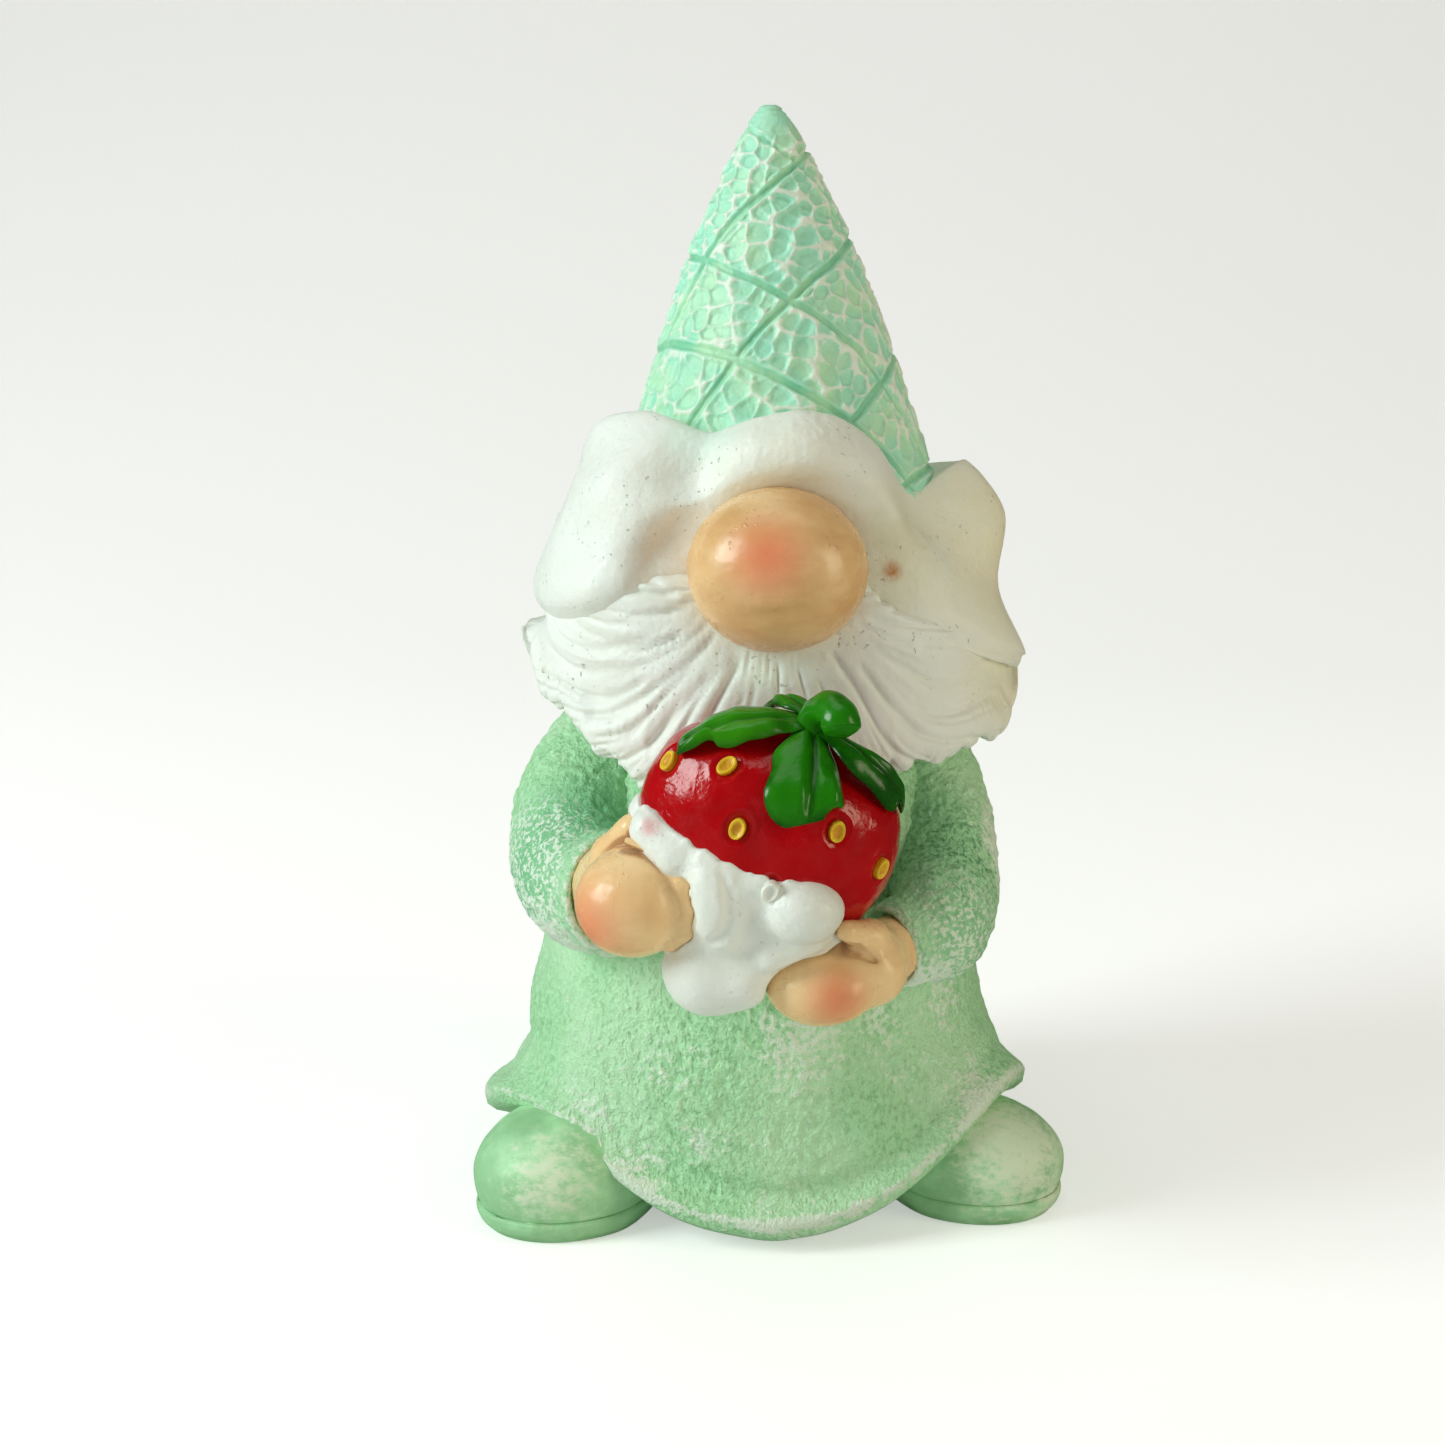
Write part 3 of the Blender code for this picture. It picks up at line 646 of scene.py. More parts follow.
def build_hat(paint):
    """A wafer rolled to a cone: pressed lines with raised lips, and hammered dimples between them."""
    rows, cols = 270, 460
    down = np.linspace(0.0, 1.0, rows)[:, None]
    angle = compass(cols)[None, :]
    drop = TIP_CAP + (HAT_TIP - HAT_LOW[2] - TIP_CAP) * down**0.95
    radius = np.interp(drop, *zip(*HAT_PROFILE))
    for _ in range(6):
        radius[3:-3] = 0.5 * radius[3:-3] + 0.25 * (radius[:-6] + radius[6:])
    grid = polar(angle, radius, HAT_TIP - drop)
    grid[..., 0] += (HAT_LOW[0] + HAT_HIGH[0]) / 2 * down

    slant = radius / CONE_TURN
    sector = np.radians(angle) * CONE_TURN
    flat = points_from(slant * np.sin(sector), slant * np.cos(sector))

    line = np.full(flat.shape[:2], 9.0)
    groove = np.zeros(flat.shape[:2])
    lip = groove.copy()
    for number, (direction, offset, curvature, strength) in enumerate(WAFER_LINES):
        away = wafer_line(flat, direction, offset, curvature, 3 + 10 * number)
        line = np.minimum(line, away + 2 * (1 - strength))
        pressed = 1.0 - ramp(away, LINE_HALF_WIDTH - 0.22, LINE_HALF_WIDTH + 0.12)
        groove = np.maximum(groove, strength * pressed)
        lip = np.maximum(lip, strength * hill(away, LINE_HALF_WIDTH + 0.26, 0.17))
    lip *= (1 - groove) * (0.75 + 0.5 * noise(flat, 1.6, 53))
    warp = points_from(noise(flat, 3.2, 31), noise(flat, 3.2, 32))
    near, second = cells(flat + 0.55 * warp, DIMPLE, 41)
    between = ramp(line, LINE_HALF_WIDTH + 0.05, LINE_HALF_WIDTH + 0.6) * ramp(drop, 1.0, 5.0)
    patchy = 0.5 + 0.5 * noise(flat, 2.6, 51)
    ridge = hill(second, near, 0.10 + 0.10 * patchy)
    wall = ramp(near, 0.34, 0.62)
    base = ramp(angle, 20, 50) * ramp(drop, 36, 43)
    pattern = between * (1 - 0.8 * base)
    height = pattern * (0.16 * ridge + 0.34 * wall - 0.26) + 0.13 * lip - 0.36 * groove
    height += 0.08 * fractal(flat, 3.0, 61) + 0.05 * noise(flat, 0.7, 63)
    relief = 0.30 + pattern * (0.30 * ridge + 0.30 * wall * (0.5 + patchy)) + 0.42 * lip - 0.30 * groove
    relief += 0.14 * fractal(flat, 6.0, 71) + 0.10 * ramp(angle, 10, 60)
    grid = raised(grid, height * ramp(drop, 0.0, 4.0))
    add_grid("hat_wafer_cone", grid, relief, paint, "hat")


# ---- brim and nose ----

NOSE_LOW, NOSE_HIGH = box_mm("nose")
NOSE = (NOSE_LOW + NOSE_HIGH) / 2
NOSE_RADII = (NOSE_HIGH - NOSE_LOW) / 2
NOSE_RADII[1] = 9.0
NOSE[1] = NOSE_LOW[1] + NOSE_RADII[1]

BRIM_EDGE_Z = (
    (-180, 70), (-130, 69), (-95, 70.5), (-63, 71.5), (-48, 73.2), (-36, 75.4), (-25, 77.4), (0, 78),
    (22, 77.0), (30, 75.0), (36, 73.2), (44, 71.4), (52, 69.2), (66, 66.6), (85, 63.5), (105, 62.5),
    (140, 66),
)
BRIM_TOP_Z = (
    (-180, 90.0), (-120, 88.6), (-98, 89.2), (-84, 91.2), (-63, 95.4), (-46, 96.6), (-28, 94.5),
    (-19, 93.6), (-7, 95.9), (10, 97.3), (24, 96.2), (39, 92.6), (53, 88.0), (66, 87.0), (84, 89.4),
    (98, 88.0), (116, 87.0), (150, 88.5),
)
BRIM_FOLDS = (  # height, centre (x, z), radii and turn of each soft fold on the front
    (-1.9, (-11.6, 82.2), (6.4, 3.0), 50), (0.9, (-18.0, 89.0), (8.0, 2.2), 40),
    (0.8, (-20.5, 76.8), (6.5, 2.8), 14), (-0.6, (-22.5, 84.0), (2.6, 3.0), 0),
    (-1.0, (17.0, 85.0), (2.6, 6.5), 16), (-0.5, (20.5, 76.0), (4.0, 6.0), 20),
    (0.7, (0.5, 93.5), (10.0, 2.2), 0),
)


def brim_corners(angle):
    """The drape's closed outline as (radius, z) corners, with one array of angles in each."""
    top = round_table(BRIM_TOP_Z, angle, 4.0)
    edge = round_table(BRIM_EDGE_Z, angle, 4.0)
    top_r = swell(angle, 18.6, (4.4, 90, 20), (2.4, -72, 26), (0.6, 3, 25))
    shoulder_r = swell(angle, 23.8, (1.8, 3, 26), (-0.6, -88, 22), (4.4, 90, 22))
    shoulder_r = swell(angle, shoulder_r, (-1.2, -24, 9), (-0.9, 56, 16))
    waist_r = swell(angle, 26.3, (0.5, -50, 26), (-1.4, -90, 20), (-0.5, 52, 16), (1.2, 90, 24))
    edge_r = swell(angle, 27.2, (1.6, -60, 34), (3.6, 84, 26), (-0.6, 38, 12))
    thick = 1.0 - 0.7 * bump(angle, 58, 40)
    sag = bump(angle, 88, 28)
    waist = 0.55 - 0.15 * sag
    return [(15.5, top - 4.5), (top_r - 1.4, top - 0.8), (top_r + 1.0, top - 0.5),
            (shoulder_r, top - 4.8 - 1.8 * sag), (waist_r, waist * top + (1 - waist) * edge),
            (edge_r, edge + 4.6 - 2.0 * sag), (edge_r - 0.3 * thick, edge + 1.5),
            (edge_r - 2.4 * thick, edge + 0.1), (edge_r - 6.0, edge + 2.2), (16.4, edge + 5.0),
            (16.4, top - 9.5)]


def round_the_nose(grid, reach=(14.0, 11.6), depth=6.2):
    """Pushes a surface back so that the nose sits in a soft hollow."""
    away = np.hypot((grid[..., 0] - NOSE[0]) / reach[0], (grid[..., 2] - NOSE[2] + 0.5) / reach[1])
    push = depth * np.exp(-(away**3.4))
    grid[..., 1] += push * ramp(-grid[..., 1], 11.0, 21.0)
    return grid


def patch(grid, centre, radii, turn=0.0):
    """1 at a place on the figure's front, seen from ahead, fading out over an oval of (x, z) radii."""
    x, z = grid[..., 0] - centre[0], grid[..., 2] - centre[1]
    c, s = math.cos(math.radians(turn)), math.sin(math.radians(turn))
    near = np.exp(-(((x * c + z * s) / radii[0]) ** 2) - ((z * c - x * s) / radii[1]) ** 2)
    return near * ramp(-grid[..., 1], 2.0, 9.0)


def build_brim(paint):
    """Thick, drooping drape round the hat's base, with soft folds and a grainy middle."""
    rows, cols = 150, 600
    angle = compass(cols)
    outline = loop_through(brim_corners(angle), rows)
    grid = round_the_nose(polar(angle[None, :], outline[..., 0], outline[..., 1]))
    fold = sum(height * patch(grid, centre, radii, turn) for height, centre, radii, turn in BRIM_FOLDS)
    lumps = 0.28 * fractal(grid, 9.0, 81) + 0.05 * fractal(grid, 1.3, 85)
    grain = 0.14 * np.abs(noise(grid * np.array([1, 1, 1.6]), 0.8, 87)) * patch(grid, (2, 94), (13, 5))
    grid = raised(grid, fold + lumps + grain, wrap_rows=True)
    # Low relief in the sunken folds becomes painted shade in the ivory paint.
    relief = 0.55 + 0.15 * fold + 0.2 * lumps
    add_grid("hat_brim_drape", grid, relief, paint, "hat_brim", wrap_rows=True)


def build_nose(paint):
    """A ball, slightly wider than tall, with brushed paint and a shallow dent low on one side."""
    rows, cols = 110, 160
    tilt = np.linspace(0.02, math.pi - 0.02, rows)[:, None]
    turn = circle(cols)[None, :]
    ball = points_from(np.sin(tilt) * np.cos(turn), -np.cos(tilt), np.sin(tilt) * np.sin(turn))
    grid = NOSE + ball * NOSE_RADII
    height = 0.12 * fractal(grid, 6.0, 91) + 0.02 * noise(grid * np.array([0.4, 1, 2.2]), 1.1, 95)
    height -= 0.25 * patch(grid, (NOSE[0] + 1.5, NOSE[2] - 3.0), (5.0, 0.9), 8)
    grid = grid + ball * height[..., None]
    add_grid("nose_ball", grid, np.full(height.shape, 0.6), paint, "nose")


# ---- beard ----

BEARD_EDGE_Z = (
    (-112, 67.6), (-92, 67.0), (-85, 66.2), (-72, 63.6), (-63, 61.8), (-52, 59.2), (-44, 57.4),
    (-36, 55.4), (-24, 53.0), (-8, 51.6), (8, 51.8), (20, 54.2), (29, 55.9), (41, 55.9), (50, 56.4),
    (63, 57.1), (77, 57.6), (85, 59.4), (96, 63),
)
BEARD_TOP_Z = 79.5  # under the nose
BEARD_END = 112.0  # angle of its two ends
# families of carved lines: how many to a radian, where they start and stop from the nose, width and depth
CARVED_LINES = (
    (8.0, (8.5, 13.0), (19.0, 42.0), 0.30, 0.75), (13.0, (11.0, 22.0), (19.0, 44.0), 0.24, 0.55),
    (22.0, (15.0, 28.0), (21.0, 46.0), 0.18, 0.38), (17.0, (8.0, 9.5), (10.5, 13.5), 0.20, 0.45),
)


def carved(lay, reach, family, seed):
    """Depth of one family of carved lines, each with its own place, start and end."""
    count, starts, ends, width, depth = family
    waver = 0.16 * noise(points_from(lay * 3.0, reach / 8.0), 1.0, seed)
    place = lay * count + waver
    cut = np.zeros(lay.shape)
    for shift in (-1, 0, 1):
        cell = np.floor(place) + shift
        chance = [hashed(cell[..., None], seed + k) for k in range(1, 5)]
        away = np.abs(place - cell - 0.5 - 0.7 * (chance[0] - 0.5)) / count * reach
        start = starts[0] + (starts[1] - starts[0]) * chance[1]
        end = np.maximum(ends[0] + (ends[1] - ends[0]) * chance[2], start + 3.0)
        along = ramp(reach, start, start + 2.5) * (1 - ramp(reach, end - 3.0, end))
        cut = np.maximum(cut, along * (0.45 + 0.55 * chance[3]) * np.exp(-((away / width) ** 2)))
    return depth * cut


def beard_outline(angle, share, cols):
    """The bib's closed outline as (radius, z) at each angle, drawn together at its two ends."""
    high = swell(angle, round_table(BRIM_EDGE_Z, angle, 4.0) + 3.5, (-6.0, -104, 30), (-1.8, 34, 12))
    high = np.minimum(high, BEARD_TOP_Z)
    comb = points_from(angle / 57.3, 0.0)
    tufts = 1.2 * np.abs(noise(comb, 0.10, 101)) + 0.8 * noise(comb, 0.25, 103)
    tufts += 0.35 * np.abs(noise(comb, 0.035, 105))
    low = round_table(BEARD_EDGE_Z, angle, 3.0) - tufts + 0.8
    high = np.maximum(high, low + 1.0)
    tall = np.minimum((high - low) / 7.0, 1.0)
    low_r = oval(angle, 30.2, 26.6)
    high_r = swell(angle, 25.4, (1.6, 42, 26), (2.6, 84, 30), (2.4, -58, 34), (-0.4, 2, 20))
    corners = [(15.0, high + 0.5), (high_r - 1.5, high - 0.5), (high_r, 0.8 * high + 0.2 * low),
               (np.maximum(high_r, low_r - 0.8), 0.4 * high + 0.6 * low), (low_r, low + 3.0 * tall),
               (low_r - 0.7, low + 0.6 * tall), (low_r - 2.2, low), (low_r - 6.0, low + 2.4 * tall),
               (14.0, 0.5 * (high + low))]
    outline = loop_through(corners, cols).transpose(1, 0, 2)
    middle = outline.mean(axis=1, keepdims=True)
    return middle + (outline - middle) * np.sqrt(1 - np.abs(share) ** 16)[:, None, None]


def build_beard(paint):
    """A broad bib combed out from under the nose, with carved strands and pointed tufts along its edge."""
    rows, cols = 560, 190
    share = np.linspace(-0.998, 0.998, rows)
    outline = beard_outline(BEARD_END * share, share, cols)
    radius, z = outline[..., 0], outline[..., 1]
    angle = BEARD_END * share[:, None]
    grid = polar(angle, radius, z)

    arc = np.radians(angle) * radius - NOSE[0]
    drop = NOSE[2] - 1.0 - z
    reach = np.hypot(arc, drop)
    lay = np.arctan2(arc, drop + 0.016 * arc**2)
    lay = lay + 0.05 * noise(points_from(lay * 1.5, reach / 12.0), 1.0, 111)

    def strands(across, along, seed):
        return np.abs(noise(points_from(lay * across, reach / along), 1.0, seed)) ** 0.7

    front = ramp(radius, 19.0, 23.5) * (1 - 0.5 * ramp(angle, 20, 70))
    calm = 0.75 * bump(angle, 4, 22)
    cut = sum(carved(lay, reach, family, 121 + 10 * k) for k, family in enumerate(CARVED_LINES))
    cut = 0.9 * cut * (1 - calm * ramp(reach, 9, 15))
    locks = 0.75 * strands(4.5, 40, 171) + 0.40 * strands(10, 26, 173) + 0.16 * strands(26, 16, 175) - 0.55
    locks = locks * (1 - calm)
    grid = round_the_nose(raised(grid, front * (locks * ramp(reach, 8, 18) - cut)), (11.3, 9.2), 3.8)
    # Low relief in the carved lines becomes painted shade in the ivory paint.
    relief = 0.55 + front * (0.3 * locks - 0.5 * cut)
    add_grid("beard_combed", grid, relief, paint, "beard")


# ---- robe and sleeves ----

ROBE_TOP = box_mm("robe")[1][2]
HEM_LIP = 2.3
HEM_Z = (
    (-180, 1.0), (-130, 2.2), (-105, 4.0), (-84, 6.0), (-74, 9.6), (-62, 11.9), (-51, 11.2), (-42, 8.8),
    (-34, 6.2), (-25, 3.9), (-16, 2.5), (0, 1.4), (13, 2.1), (27, 4.3), (37, 7.1), (45, 9.5), (52, 11.6),
    (61, 13.0), (73, 12.4), (88, 8.0), (108, 3.6), (140, 1.6),
)
# half-widths and half-depths of the robe from the hem up, on each side
ROBE_RIGHT = (35.2, 31.2, 29.2, 27.8, 25.8, 23.0, 19.0, 14.0)
ROBE_LEFT = (31.4, 27.6, 25.8, 25.3, 24.4, 22.4, 19.0, 14.0)
ROBE_FRONT = (29.4, 28.2, 27.6, 26.6, 25.2, 23.0, 19.6, 14.0)
ROBE_BACK = (26.4, 25.4, 24.6, 24.0, 23.0, 21.4, 18.6, 14.0)


def robe_radius(angle, share):
    """Radius of the robe at arrays of angle and share, 0 at the hem and 1 at the neck."""
    sides = (ROBE_RIGHT, ROBE_LEFT, ROBE_FRONT, ROBE_BACK)
    right, left, front, back = (curve(sizes, share) for sizes in sides)
    half_width = np.where(np.sin(np.radians(angle)) > 0, left, right)
    depth = np.where(np.cos(np.radians(angle)) > 0, front, back)
    return oval(angle, half_width, depth)


def underside(edge, hem, angle):
    """Rings that turn the hem under and line the robe's hollow, with a clear seat for the base plate."""
    lip = edge * np.array([0.962, 0.962, 0])
    lip[..., 2] = hem
    middle = 0.5 * (edge + lip) * np.array([1.012, 1.012, 1.0])
    middle[..., 2] -= 0.25
    tucked = edge * np.array([0.80, 0.80, 0])
    tucked[..., 2] = hem * 0.75
    rings = [middle, lip, tucked]
    plate_low, plate_high = box_mm("base_plate")
    centre = (plate_low + plate_high) / 2
    half = (plate_high - plate_low) / 2
    turn = np.radians(angle)
    seat_top = plate_high[2] + 0.3
    for grow, height in ((0.3, 0.0), (0.3, seat_top), (-2.2, seat_top), (-3.0, 20.0)):
        x = centre[0] + (half[0] + grow) * np.sin(turn)
        y = centre[1] - (half[1] + grow) * np.cos(turn)
        rings.append(points_from(x, y, height))
    return rings


def build_robe(paint):
    """A bell with a rolled, lifted hem, soft drape folds and a felt-like tooth."""
    rows, cols = 240, 620
    angle = compass(cols)[None, :]
    share = np.linspace(1.0, 0.0, rows)[:, None] + 0 * angle
    hem = round_table(HEM_Z, angle, 3.0)
    above_hem = (ROBE_TOP - hem - HEM_LIP) * share
    z = hem + HEM_LIP + above_hem
    lifted = bump(angle, -62, 34) + 0.5 * bump(angle, 62, 26)
    radius = robe_radius(angle, share) + hill(above_hem, 0.3, 1.2) - 0.8 * hill(above_hem, 3.2, 1.5)
    radius += lifted * (0.7 * hill(above_hem, 2.0, 2.4) - 0.9 * hill(above_hem, 6.6, 2.4))
    outside = polar(angle, radius, z)
    x = outside[..., 0]
    folds = 0.9 * hill(z - 21 + 0.32 * (x + 24), 0, 4.0) * ramp(-x, -2, 16)
    folds -= 0.8 * hill(z - 13 + 0.36 * (x + 24), 0, 3.2) * ramp(-x, -2, 14)
    folds += 0.5 * hill(z - 17 - 0.30 * (x - 22), 0, 4.0) * ramp(x, 2, 16)
    folds *= bump(angle, 0, 95, 4)
    folds += 0.45 * np.sin(np.radians(angle * 7 + 20)) * bump(angle, 180, 85, 4) * (1 - ramp(share, 0.3, 0.8))
    lean = points_from(x + 0.5 * z, outside[..., 1], 0.62 * (z - 0.5 * x))
    worked = 0.35 + 0.65 * ramp(fractal(outside, 13.0, 133), -0.35, 0.25)
    tooth = 0.30 * np.abs(noise(lean, 0.9, 131)) ** 0.8 + 0.14 * noise(lean, 0.7, 135) - 0.11
    tooth *= 1.15 * worked
    soft = 0.28 * fractal(outside, 8.0, 137)
    outside = raised(outside, folds + soft + tooth * ramp(above_hem, 0, 3))
    grid = np.vstack([outside, *underside(outside[-1:], hem, angle)])
    relief = np.full(grid.shape[:2], 0.35)
    rolled = (0.75 + 0.3 * noise(outside, 3.0, 138)) * hill(above_hem, 0.2, 0.7)
    relief[:rows] = 0.26 + 0.9 * tooth + 0.10 * folds + rolled + 0.12 * fractal(outside, 14.0, 139)
    add_grid("robe_felted", grid, relief, paint, "robe")


def swept(path, rows, cols):
    """A tube along (x, y, z, width, thickness) stations: its points, its middle line and the shares along."""
    t = np.linspace(0, 1, rows)
    line = curve(path, t)
    along = unit(np.gradient(line[:, :3], axis=0))
    across = unit(np.cross(along, (0, 0, 1.0)))
    up = np.cross(across, along)
    turn = circle(cols)[None, :, None]
    line, across, up = line[:, None], across[:, None], up[:, None]
    ring = line[..., 3:4] * np.cos(turn) * across + line[..., 4:5] * np.sin(turn) * up
    return line[..., :3] + ring, line[..., :3], t


SLEEVES = {  # stations of (x, y, z, width, thickness) from the shoulder to the cuff
    "right": [(-14, 1, 58, 4.5, 4.5), (-18.8, -1.5, 53.5, 7.8, 7.6), (-21.8, -6.5, 47.4, 8.9, 9.0),
              (-22.4, -13, 43.0, 8.5, 8.9), (-20.8, -19.4, 42.0, 7.6, 8.0), (-17.4, -25.2, 43.0, 6.6, 6.9)],
    "left": [(13, 1, 56, 4.5, 4.5), (16.8, -1.5, 51.5, 7.5, 7.6), (18.9, -7, 44.8, 8.0, 9.0),
             (19.9, -14.0, 39.8, 7.3, 8.6), (18.8, -22.0, 38.0, 6.2, 7.1), (14.0, -26.4, 37.0, 4.4, 4.7)],
}
SHOULDER_CAP = (0.3, 0.7)  # sizes of the rings that close the upper end
CUFF = (  # size and push of each ring of the cuff
    (0.985, 0.45), (0.93, 0.7), (0.86, 0.45), (0.82, -0.6), (0.5, -1.2),
)


def build_sleeve(side, paint):
    """A padded sleeve with a felt-like tooth, ending in a turned-in cuff."""
    tube, line, t = swept(SLEEVES[side], 170, 200)
    along = t[:, None]
    tooth = 0.28 * np.abs(noise(tube, 1.1, 141)) ** 0.8 + 0.12 * noise(tube, 0.75, 143) - 0.1
    tooth += 0.2 * fractal(tube, 6.0, 145)
    cuff = 0.35 * ramp(along, 0.93, 0.99) - 0.35 * hill(along, 0.9, 0.03)
    shaped = tube + unit(tube - line) * (tooth * (1 - ramp(along, 0.97, 1.0)) + cuff)[..., None]
    start, centre = line[:1], line[-1:]
    ahead = unit(line[-1] - line[-3])
    cap = [start + (shaped[:1] - start) * size for size in SHOULDER_CAP]
    lips = [centre + (shaped[-1:] - centre) * size + ahead * push for size, push in CUFF]
    grid = np.vstack([*cap, shaped, *lips])
    relief = np.full(grid.shape[:2], 0.35)
    relief[len(cap):-len(lips)] = 0.32 + 0.9 * tooth + 0.3 * ramp(along, 0.95, 1.0)
    relief[-len(lips):-2] = 0.75
    add_grid(f"{side}_sleeve_felted", grid, relief, paint, f"{side}_sleeve")


# ---- shoes ----

SHOES = {"right": (-60.0, 12.3, 9.8), "left": (66.0, 12.1, 9.3)}  # toe direction, half-length, half-width
SHOE_WIDEST = 3.0  # height of the widest ring above the shoe's lowest point
SHOE_SINK = 0.05  # how far the lowest ring sinks into the sole
SOLE_SHARE = 0.985  # size of the sole against the shoe
SOLE_PROFILE = (  # height share and size of the sole's outline, from below
    (0.0, 0.5), (0.0, 0.86), (0.10, 0.915), (0.32, 0.962), (0.60, 0.992), (0.84, 0.998), (0.96, 0.975),
    (1.0, 0.94), (1.0, 0.5),
)


def shoe_rings(side, turn, size, heel):
    """Points on rings of a size round a shoe, narrower by the heel share at the back."""
    low, high = box_mm(f"{side}_sole")
    direction, half_length, half_width = SHOES[side]
    toe = math.radians(direction)
    along = np.array([math.sin(toe), -math.cos(toe), 0.0])
    across = np.array([math.cos(toe), math.sin(toe), 0.0])
    narrow = 1.0 - heel * ramp(-np.cos(turn), 0.1, 1.0)
    grid = (low + high) / 2 * np.array([1, 1, 0]) + (half_length * np.cos(turn) * size)[..., None] * along
    return grid + (half_width * np.sin(turn) * size * narrow)[..., None] * across


def build_shoe(side, paint):
    """A round, padded toe that narrows under the robe, standing on its sole line."""
    low, high = box_mm(f"{side}_shoe")
    rows, cols = 110, 200
    tilt = np.linspace(0.03, 1.0, rows)[:, None] * math.pi * 0.60
    turn = circle(cols)[None, :]
    rise = np.cos(tilt)
    grid = shoe_rings(side, turn, np.sin(tilt), 0.22)
    widest = low[2] + SHOE_WIDEST
    below = (SHOE_WIDEST + SHOE_SINK) / -rise[-1]
    z = widest + rise * np.where(rise > 0, high[2] - widest, below)
    z = z - 1.6 * ramp(-np.cos(turn), 0.2, 1.0) * np.maximum(rise, 0)
    grid[..., 2] = z
    height = 0.16 * fractal(grid, 7.0, 151) + 0.05 * fractal(grid, 1.5, 153)
    grid = raised(grid, height * ramp(z, low[2] + 0.4, low[2] + 2.0))
    upper = ramp(rise, 0.35, 0.95) * ramp(np.cos(turn), -0.6, 0.6)
    relief = 0.3 + 0.35 * upper + 0.3 * fractal(grid, 4.0, 157)
    add_grid(f"{side}_shoe_toe", grid, relief, paint, f"{side}_shoe")


def build_sole(side, paint):
    """The sole's rounded slab, just inside the widest part of the toe above it."""
    top = box_mm(f"{side}_sole")[1][2] + 0.25
    profile = curve(SOLE_PROFILE, np.linspace(0, 1, 36))
    share, size = profile[:, :1], profile[:, 1:]
    grid = shoe_rings(side, circle(220)[None, :], SOLE_SHARE * size, 0.2)
    grid[..., 2] = share * top
    grid = raised(grid, 0.10 * fractal(grid, 4.0, 161) * ramp(grid[..., 2], 0.1, 0.8))
    grid[..., 2] = np.maximum(grid[..., 2], 0.0)
    relief = 0.32 + 0.25 * hill(share, 0.85, 0.2) + 0.3 * fractal(grid, 3.0, 163)
    add_grid(f"{side}_sole_slab", grid, relief, paint, f"{side}_sole")


# ---- hands ----


def right_hand(points):
    """Round mitten pressed to the fruit's side: thumb behind its top, a finger tucked under the dip."""
    ball = blob(points, (-14.8, -38.2, 46.5), (6.3, 6.2, 6.0))
    wrist = rod(points, (-18.4, -21.5, 43.2, 5.2), (-16.2, -32.0, 45.4, 5.2))
    thumb = chain(points, ((-18.8, -27.0, 45.6, 3.0), (-17.4, -31.8, 49.6, 2.2),
                           (-15.0, -34.8, 53.6, 1.7)), 1.0)
    finger = chain(points, ((-10.9, -40.2, 51.2, 0.8), (-9.5, -40.8, 49.2, 1.1), (-9.1, -40.8, 46.4, 1.2),
                            (-9.4, -40.4, 44.0, 1.2), (-10.8, -39.4, 42.2, 1.0)), 0.4)
    rim = chain(points, ((-15.2, -38.8, 53.5, 0.45), (-10.5, -40.6, 52.2, 0.55),
                         (-8.9, -41.4, 49.6, 0.45)), 0.4)
    hand = melt([ball, wrist], 1.6)
    hand = melt([hand, melt([thumb, finger], 0.4)], 0.35)
    return melt([hand, rim], 0.4)


def left_hand(points):
    """Mitten under the fruit, fingers rolled forward, thumb up along the dip, wrist back to the cuff."""
    fingers = blob(points, (5.5, -37.2, 36.3), (6.0, 5.0, 4.2), 4)
    palm = blob(points, (10.2, -35.0, 37.8), (5.0, 4.8, 4.5), 16)
    wrist = rod(points, (11.0, -32.0, 37.4, 3.9), (15.0, -25.4, 36.9, 3.6))
    thumb = chain(points, ((12.6, -32.8, 38.8, 2.2), (10.9, -36.6, 41.8, 1.9), (8.3, -39.6, 43.6, 1.25)), 0.8)
    edge = rod(points, (10.2, -38.0, 43.6, 0.45), (11.9, -38.0, 40.2, 0.4))
    crease = chain(points, ((6.9, -40.6, 42.6, 0.45), (9.3, -39.4, 41.2, 0.85),
                            (11.4, -38.8, 39.9, 0.3)), 0.3)
    hand = melt([melt([fingers, palm], 1.0), wrist], 1.8)
    hand = melt([hand, melt([thumb, edge], 0.4)], 0.6)
    return carve(hand, crease, 0.4)


def cleared(shape, points):
    """A hand's shape drawn out forwards, to cut away anything in front of it."""
    ahead = [shape(points + np.array([0.0, shift, 0.0])) for shift in (0.0, 2.0, 4.0, 6.0)]
    return np.min(ahead, axis=0) - 0.1


def moulded(shape, node, margin, step, lumps, grain):
    """Points and quads of a field's surface round a CAD node, uneven by two (amount, size, seed) noises."""
    low, high = box_mm(node)
    points, quads = field_surface(shape, low - margin, high + margin, step)
    height = lumps[0] * fractal(points, *lumps[1:]) + grain[0] * noise(points, *grain[1:])
    return points + net_normals(points, quads) * height[:, None], quads


def build_hand(side, shape, paint):
    """A mitten whose relief is low wherever its surface turns inwards, which the paint turns into painted
    shade.
    """
    node = f"{side}_hand"
    points, quads = moulded(shape, node, 7.0, 0.27, (0.10, 4.0, 171), (0.03, 0.9, 175))
    feeler = 1.5
    relief = 0.6 + 0.9 * (shape(points + feeler * net_normals(points, quads)) - feeler)
    add_mesh(f"{node}_mitten", points, quads.tolist(), relief, paint, node)


# ---- strawberry ----

